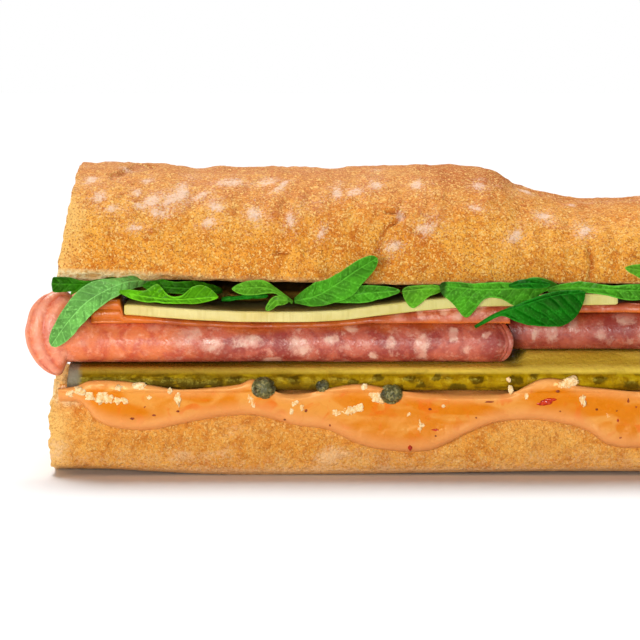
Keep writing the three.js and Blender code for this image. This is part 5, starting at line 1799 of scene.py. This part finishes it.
# ---- rocket
@dataclass(frozen=True)
class Leaf:
    """A rocket leaf: a thin sheet round a spine, with its own margin on each side."""

    name: str
    spine: Sequence[Point]
    upper: Sequence[float]
    lower: Sequence[float]
    facing: Point = (0, -1, 0.25)
    tone: Tone = Tone.FRESH
    cup: float = 0.6
    wave: float = 0.5
    blunt: float = 0.09
    shade: tuple[float, float] = (2.0, 3.0)
    fine: tuple[int, int] = (72, 14)

    def line(self, count: int) -> Array:
        """The spine as a smooth line.

        Args:
            count: how many points.

        Returns:
            Points from root to tip.
        """
        p = np.array(self.spine, float)
        knot = np.r_[0, np.cumsum(np.sqrt(np.linalg.norm(np.diff(p, axis=0), axis=1)))]
        t = np.linspace(0, knot[-1], 12 * count)
        return even_steps(np.stack([Curve(zip(knot, column))(t) for column in p.T], axis=-1), count)

    def build(self, grain: Grain) -> Shell:
        """Make the leaf.

        Args:
            grain: the field that ruffles its margin.

        Returns:
            The leaf.
        """
        rows, half_columns = self.fine
        line = self.line(rows)
        t = np.linspace(0, 1, rows)[:, None]
        s = np.linspace(-1, 1, 2 * half_columns + 1)
        along = unit(np.gradient(line, axis=0))
        normal = unit(np.array(self.facing, float))
        across = unit(np.cross(along, normal))
        upward = np.array([0.0, 0.0, 1.0])
        for row in across:
            if row @ upward < 0:
                row *= -1
            upward = row
        out = np.cross(across, along)
        out *= np.sign(out @ normal)[:, None]

        upper, lower = (np.maximum(evenly(side)(t), 0.12) * rounded((1 - t) / self.blunt)
                        for side in (self.upper, self.lower))
        upper, lower = (margin + 0.12 * grain.soft(line + k, 1.5)[:, None] * np.minimum(1, margin)
                        for k, margin in ((0, upper), (40, lower)))
        width = np.where(s > 0, upper, lower)
        reach = np.abs(s) * width
        ripple = self.wave * np.sin(9 * t + 2.2 * s) * s**2 * np.sin(math.pi * t)
        lift = ripple - self.cup * reach**2 / 12
        across, out = across[:, None, :], out[:, None, :]
        point = line[:, None, :] + across * (np.sign(s) * reach)[..., None] + out * lift[..., None]
        point = point + out * (0.22 * grain.soft(point, 3.5) * np.minimum(1, reach / 1.5))[..., None]
        return sheet(point, (0.34 + 0.3 * fall(reach, 0.0, 0.5)) * edged((rows, len(s)), 2), {
            "midrib": reach * (1 + 1.5 * t),
            "vein": (lengths(line)[:, None] - 0.85 * reach) / 2.6 + 0.35 * (s > 0),
            "margin": 0.5 * fall((1 - np.abs(s)) * width, 0.05, 0.3),
            "shade": smooth(t, *self.shade) + 0.6 * fall(t, 0, 0.16),
        })

    def turned(self, raised: float) -> "Leaf":
        """This leaf turned half round the loaf's upright axis, for the far side.

        Args:
            raised: how much higher it then lies in the gap.

        Returns:
            The turned leaf.
        """
        def gap(x: float) -> float:
            """The middle of the gap that the rocket lies in."""
            return float((LOAF.cheese(x) + LOAF.rim(x)) / 2)

        spine = [(-x, -y, z + gap(-x) - gap(x) + raised) for x, y, z in self.spine]
        x, y, z = self.facing
        return replace(self, name=self.name + "_back", spine=spine, facing=(-x, -y, z))


@dataclass
class Rocket:
    """The rocket: leaves that show on both sides, and the bed of leaves and stems under the crust."""

    seed: int = 101
    leaves: Sequence[Leaf] = (
        Leaf("drape_left",
             ((-82, -29, 44.4), (-87, -35.6, 44.6), (-91.6, -39.4, 43.1), (-96.2, -41, 40.4),
              (-100.4, -41.4, 36), (-104.4, -40.6, 30.4)),
             (0.8, 1.3, 2.1, 3.5, 3.3, 2.6, 2), (0.8, 1.3, 2.1, 2.6, 2.7, 2.6, 2), (-0.3, -1, 0.2), Tone.BLUE,
             0.5, blunt=0.12),
        Leaf("far_left", ((-86, -31, 43.9), (-94, -35, 44), (-104.6, -36.4, 44.2)),
             (0.6, 1.7, 1.5, 0.7, 1.6, 1.7), (0.6, 1.2, 1.3, 1, 1.6, 1.9), tone=Tone.OLIVE, blunt=0.03),
        Leaf("lobed_left",
             ((-89, -39.6, 42.7), (-82.3, -39.4, 41.4), (-75.5, -39.2, 40.9), (-66.6, -38.6, 41.4)),
             (0.4, 1, 1.5, 3.4, 0.8, 0.8, 2.8, 2.9, 0.6), (0.3, 1, 1.2, 1, 1, 0.9, 1, 0.8, 0.5),
             tone=Tone.BRIGHT),
        Leaf("dark_left", ((-66, -29.5, 42.2), (-72, -34.2, 42.9), (-79, -35.6, 43.4), (-84, -35, 43.7)),
             (0.5, 1.6, 2, 1.4, 1.8, 0.6), (0.5, 1.2, 1.3, 1.2, 1.2, 0.5), tone=Tone.OLIVE),
        Leaf("cupped", ((-49.8, -36, 40), (-53.4, -36.8, 42.4), (-57, -37.8, 43.5), (-63.6, -38.2, 43.2)),
             (0.4, 0.4, 0.9, 1.5, 1.6, 1.3, 0.4), (0.4, 0.4, 0.6, 1.4, 1.7, 1.5, 0.4), tone=Tone.FRESH,
             cup=-0.6),
        Leaf("stem_left", ((-66, -34.6, 40.6), (-60, -35.2, 41.2), (-55.4, -34.8, 41.4)), (0.45, 0.45, 0.4),
             (0.45, 0.45, 0.4), tone=Tone.DEEP),
        Leaf("small_tip", ((-50.8, -38.4, 40.6), (-53.6, -39.2, 40.6), (-55.8, -39.8, 38.5)),
             (0.5, 1.1, 0.9, 0.4), (0.5, 1.2, 1, 0.4), tone=Tone.FRESH),
        Leaf("upright",
             ((-49.4, -36.6, 40.4), (-44.6, -39, 41.6), (-40, -40.2, 44.3), (-35.6, -40.8, 47.4),
              (-30.6, -40.2, 50.4)),
             (0.6, 2.3, 3, 2.3, 1.9, 1.8, 1.8, 1.5), (0.6, 1.6, 2.6, 3.5, 4, 3.3, 2.4, 1.6), (0.1, -1, 0.2),
             Tone.MID, 0.4, 0.3, 0.14),
        Leaf("low", ((-41, -37, 40.9), (-36, -38, 41.8), (-31, -38.2, 42.4), (-25.4, -37.6, 42.7)),
             (0.5, 1, 1.9, 1.7, 1.2, 0.5), (0.8, 1.5, 2, 1.8, 1.1, 0.5), tone=Tone.MID),
        Leaf("hanging", ((-15.6, -37.4, 43.2), (-20, -38.8, 43.2), (-25, -38.9, 42.7)),
             (0.5, 0.9, 1, 1, 1, 0.8), (0.5, 1.1, 1.8, 3.2, 3.9, 2.2), tone=Tone.FRESH, cup=0.3, blunt=0.14),
        Leaf("triple", ((10.4, -37.4, 43.5), (2, -39.4, 43.4), (-7.4, -40, 43.3), (-16.6, -39.8, 44.1)),
             (0.7, 2.2, 2.3, 1.5, 1.5, 1.4, 1.2, 1.1, 0.9), (0.5, 0.9, 3.2, 3.9, 2.1, 2.2, 6.4, 3.6, 1.6),
             (0, -1, 0.1), Tone.MID, blunt=0.05, shade=(0.93, 0.96)),
        Leaf("dark_fold", ((-1, -41.9, 44.2), (3.4, -42.1, 44.7), (8.4, -41.9, 44.4)), (0.3, 1, 1.2, 0.9, 0.4),
             (0.3, 1, 1.1, 0.9, 0.4), tone=Tone.DEEP),
        Leaf("round",
             ((-8.6, -41, 34.8), (-4, -41.5, 37.4), (2, -41.9, 39.6), (9, -41.5, 41.8), (16.4, -40.4, 42.6)),
             (0.35, 0.4, 0.5, 0.7, 0.8, 0.9, 0.9, 0.8, 0.6), (0.35, 0.4, 0.6, 3.4, 5.3, 6.4, 6.9, 5.8, 2.2),
             (0.1, -1, 0.2), Tone.DEEP, 0.3),
        Leaf("right_low",
             ((8, -38.6, 43), (14.6, -39, 43.5), (21.4, -38.9, 43.1), (29, -38.7, 42.9), (37, -37.6, 42.9)),
             (0.5, 1.3, 1.4, 0.9, 1.4, 1.1, 0.5), (0.5, 0.9, 1, 1.6, 2.2, 1.5, 0.5), tone=Tone.MID),
        Leaf("tip_up", ((40.6, -38.2, 43.2), (35.6, -40.2, 45.2), (30.6, -41.2, 47.2), (25.2, -41, 48.2)),
             (0.5, 1.4, 2, 1.6, 0.4), (0.5, 1.5, 2.1, 1.7, 0.4), (0, -1, 0.15), Tone.FRESH),
        Leaf("right_broad", ((44, -37.6, 43), (52, -39.6, 43), (60.6, -40, 42.4), (68.4, -39, 41.2)),
             (0.6, 1.4, 2.4, 1.3, 1.8, 1, 0.4), (0.6, 2.2, 3.6, 2, 4.4, 2.2, 0.5), tone=Tone.BLUE),
        Leaf("right_upright",
             ((87.4, -37.6, 42.4), (82.6, -39.6, 43.6), (78, -40.6, 46.2), (73.4, -40.2, 48.9)),
             (0.6, 1.9, 2.5, 2.2, 1.4, 0.5), (0.6, 1.7, 2.4, 2.3, 1.5, 0.5), (0, -1, 0.15), Tone.FRESH),
        Leaf("drape_right",
             ((84, -33.4, 42.9), (90.6, -37.6, 43.1), (97, -39.4, 41.6), (102.4, -39.4, 37.4),
              (105.4, -38.4, 32.6)),
             (0.6, 1.4, 2.6, 2.9, 2.2, 0.6), (0.6, 1.5, 2.8, 3, 2.3, 0.6), (0.3, -1, 0.2), Tone.MID),
    )
    # Leaves that come again on the far side, and how much higher each lies there.
    far_side: Sequence[tuple[str, float]] = (
        ("drape_left", -1.1), ("lobed_left", 0.2), ("upright", 0.9),
        ("triple", 0.2), ("right_low", 0), ("right_broad", 0), ("right_upright", 0),
        ("drape_right", 0))

    def floor(self, x: Array) -> Array:
        """The top of the cheese, with a little air."""
        return LOAF.cheese(x) + 1.5 + 1.4 * fall(x, -90, -86)

    def roof(self, x: Array) -> Array:
        """The underside of the crumb, with a little air."""
        return LOAF.rim(x) - 0.4 - 1.2 * fall(x, -60, -20)

    def core(self) -> Shell:
        """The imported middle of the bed.

        Returns:
            The core.
        """
        x = np.linspace(-95, 97, 150)[:, None]
        turn = np.linspace(0, 2 * math.pi, 72, endpoint=False)
        low, high = self.floor(x), np.minimum(self.roof(x), self.floor(x) + 4.6)
        up = np.sign(np.sin(turn)) * np.abs(np.sin(turn)) ** 0.5
        rows = grid(x, 25.5 * np.cos(turn), (low + high) / 2 + (high - low) / 2 * 0.85 * up)
        rough = Grain(self.seed).rough(rows, 5, 3)
        rows[..., 1] += 2.2 * rough * np.cos(turn)
        rows[..., 2] += 0.5 * rough
        return tube(rows[:, ::-1], {"midrib": 9.0, "vein": rows[..., 0] / 3, "margin": 0.0, "shade": 0.0})

    def bed(self) -> Shell:
        """Leaves and stems that lie in the gap, most of them under the crust.

        Returns:
            All of them.
        """
        grain = Grain(self.seed)
        rng = np.random.default_rng(self.seed)
        shells = [self.core()]
        for side, x in product((-1, 1), np.arange(-92, 94, 7.5)):
            root = x + rng.uniform(-3, 3)
            tip = root + rng.uniform(-12, 12)
            reach = rng.uniform(30.5, 34.5)
            low, high = float(self.floor(tip)), float(self.roof(tip))
            z = [low + (high - low) * rng.uniform(0.25, 0.75) for _ in range(4)]
            spine = [(root, 15 * side, (low + high) / 2), ((root + tip) / 2, 22 * side, z[0]),
                     (tip - 0.2 * (tip - root), 28 * side, z[1]), (tip, reach * side, z[2])]
            wide = rng.uniform(1.4, 2.6)
            upper, lower = ((0.4, *(wide * share for share in shares), 0.4)
                            for shares in ((1, 0.6, 1.2, 1), (0.7, 1, 0.7, 1.1)))
            face = (rng.uniform(-0.2, 0.2), 0.5 * side, 1)
            shells.append(Leaf("bed", spine, upper, lower, face, fine=(40, 7)).build(grain))
        return join_all(shells)

    def place(self) -> None:
        """Build the bed and every leaf, dress them and set them on the frame."""
        grain = Grain(self.seed)
        finishes = {tone: RocketFinish(tone).make() for tone in Tone}
        # The bed's brown is painted shade of the gap.
        settle(self.bed().to_object("packed_rocket_bed", finishes[Tone.DARK]), "rocket", "rocket_bed")
        by_name = {leaf.name: leaf for leaf in self.leaves}
        back = [by_name[name].turned(raised) for name, raised in self.far_side]
        for leaf in (*self.leaves, *back):
            piece = leaf.build(grain).to_object("leaf_rocket_" + leaf.name, finishes[leaf.tone])
            settle(piece, "rocket", "rocket_" + leaf.name)


# ---- floor, lights and camera
@dataclass
class Studio:
    """White floor, soft light and the camera; lights and camera in metres."""

    target: Point = (-43.6, -36.0, 36.0)
    distance: float = 900.0
    elevation: float = 4.5
    seen_width: float = 145.45
    floor_half: float = 4000.0
    floor_steps: int = 24
    room_light: float = 0.2
    sun_power: float = 3.7
    sun_spread: float = 46.0
    sun_aim: Point = (0.12, -0.46, -1.0)
    lamp_power: float = 14.0
    lamp_place: Point = (-0.4, -1.4, 0.14)
    lamp_target: Point = (-0.02, 0, 0.035)

    def floor(self) -> None:
        """A wide pale floor."""
        n = self.floor_steps
        side = np.linspace(-1, 1, n + 1)
        reach = np.sign(side) * np.abs(side) ** 2 * self.floor_half
        a = ((n + 1) * np.arange(n)[:, None] + np.arange(n)).ravel()
        quads = np.stack([a, a + n + 1, a + n + 2, a + 1], axis=-1)
        b = Bench("white_paper")
        finish = b.finish(b.mix(b.noise(300, 2), tint(238, 236, 235), tint(240, 239, 238)), 0.9, 0.0)
        Shell(grid(reach[:, None], reach, -0.05).reshape(-1, 3), quads).to_object("floor", finish)

    def hang(self, data: bpy.types.ID, place: Sequence[float], aim: Sequence[float]) -> Thing:
        """Set a light or the camera in the scene.

        Args:
            data: the light or camera.
            place: where it hangs.
            aim: the direction that it looks in, any length.

        Returns:
            The new object.
        """
        thing = bpy.data.objects.new(data.name, data)
        bpy.context.scene.collection.objects.link(thing)
        x, y, z = unit(np.array(aim, float))
        thing.location = place
        thing.rotation_euler = (math.acos(-z), 0.0, math.atan2(-x, y))
        return thing

    def light(self) -> None:
        """A bright room, soft light from above and behind, and a long low lamp in front on the left."""
        world = bpy.data.worlds.new("studio")
        world.use_nodes = True
        nodes, link = world.node_tree.nodes, world.node_tree.links.new
        room, seen = nodes["Background"], nodes.new("ShaderNodeBackground")
        for node, strength in ((room, self.room_light), (seen, 1.0)):
            node.inputs["Color"].default_value = (1, 1, 1, 1)
            node.inputs["Strength"].default_value = strength
        path, either = nodes.new("ShaderNodeLightPath"), nodes.new("ShaderNodeMixShader")
        for k, source in enumerate((path.outputs["Is Camera Ray"], room.outputs[0], seen.outputs[0])):
            link(source, either.inputs[k])
        link(either.outputs[0], nodes["World Output"].inputs["Surface"])
        bpy.context.scene.world = world

        sun = bpy.data.lights.new("sky_light", "SUN")
        sun.energy = self.sun_power
        sun.angle = math.radians(self.sun_spread)
        self.hang(sun, (0, 0, 0), self.sun_aim)
        lamp = bpy.data.lights.new("key", "AREA")
        lamp.shape = "RECTANGLE"
        lamp.size, lamp.size_y = 0.8, 0.24
        lamp.energy = self.lamp_power
        self.hang(lamp, self.lamp_place, np.subtract(self.lamp_target, self.lamp_place))

    def camera(self) -> None:
        """The camera at the photograph's viewing angle."""
        data = bpy.data.cameras.new("camera")
        data.sensor_width = 36
        data.lens = data.sensor_width * self.distance / self.seen_width
        data.clip_start, data.clip_end = 0.05, 20
        tilt = math.radians(self.elevation)
        back = np.array([0, -math.cos(tilt), math.sin(tilt)])
        place = (np.array(self.target) + self.distance * back) * MM
        bpy.context.scene.camera = self.hang(data, place, -back)

    def place(self) -> None:
        """Set up floor, lights and camera."""
        self.floor()
        self.light()
        self.camera()
        bpy.context.scene.view_settings.view_transform = "Standard"
        log.info("studio: floor, two soft lights and the camera")


# ---- building
def main() -> None:
    """Build every piece in order."""
    logging.basicConfig(level=logging.INFO, format="%(message)s")
    sauce = SpicySauce()
    for part in (LowerBread(), sauce, Scraps(sauce), Capers(), Gherkins(), Salami(), Cheese(), Rocket(),
                 UpperBread(), Studio()):
        part.place()


if __name__ == "__main__":
    main()
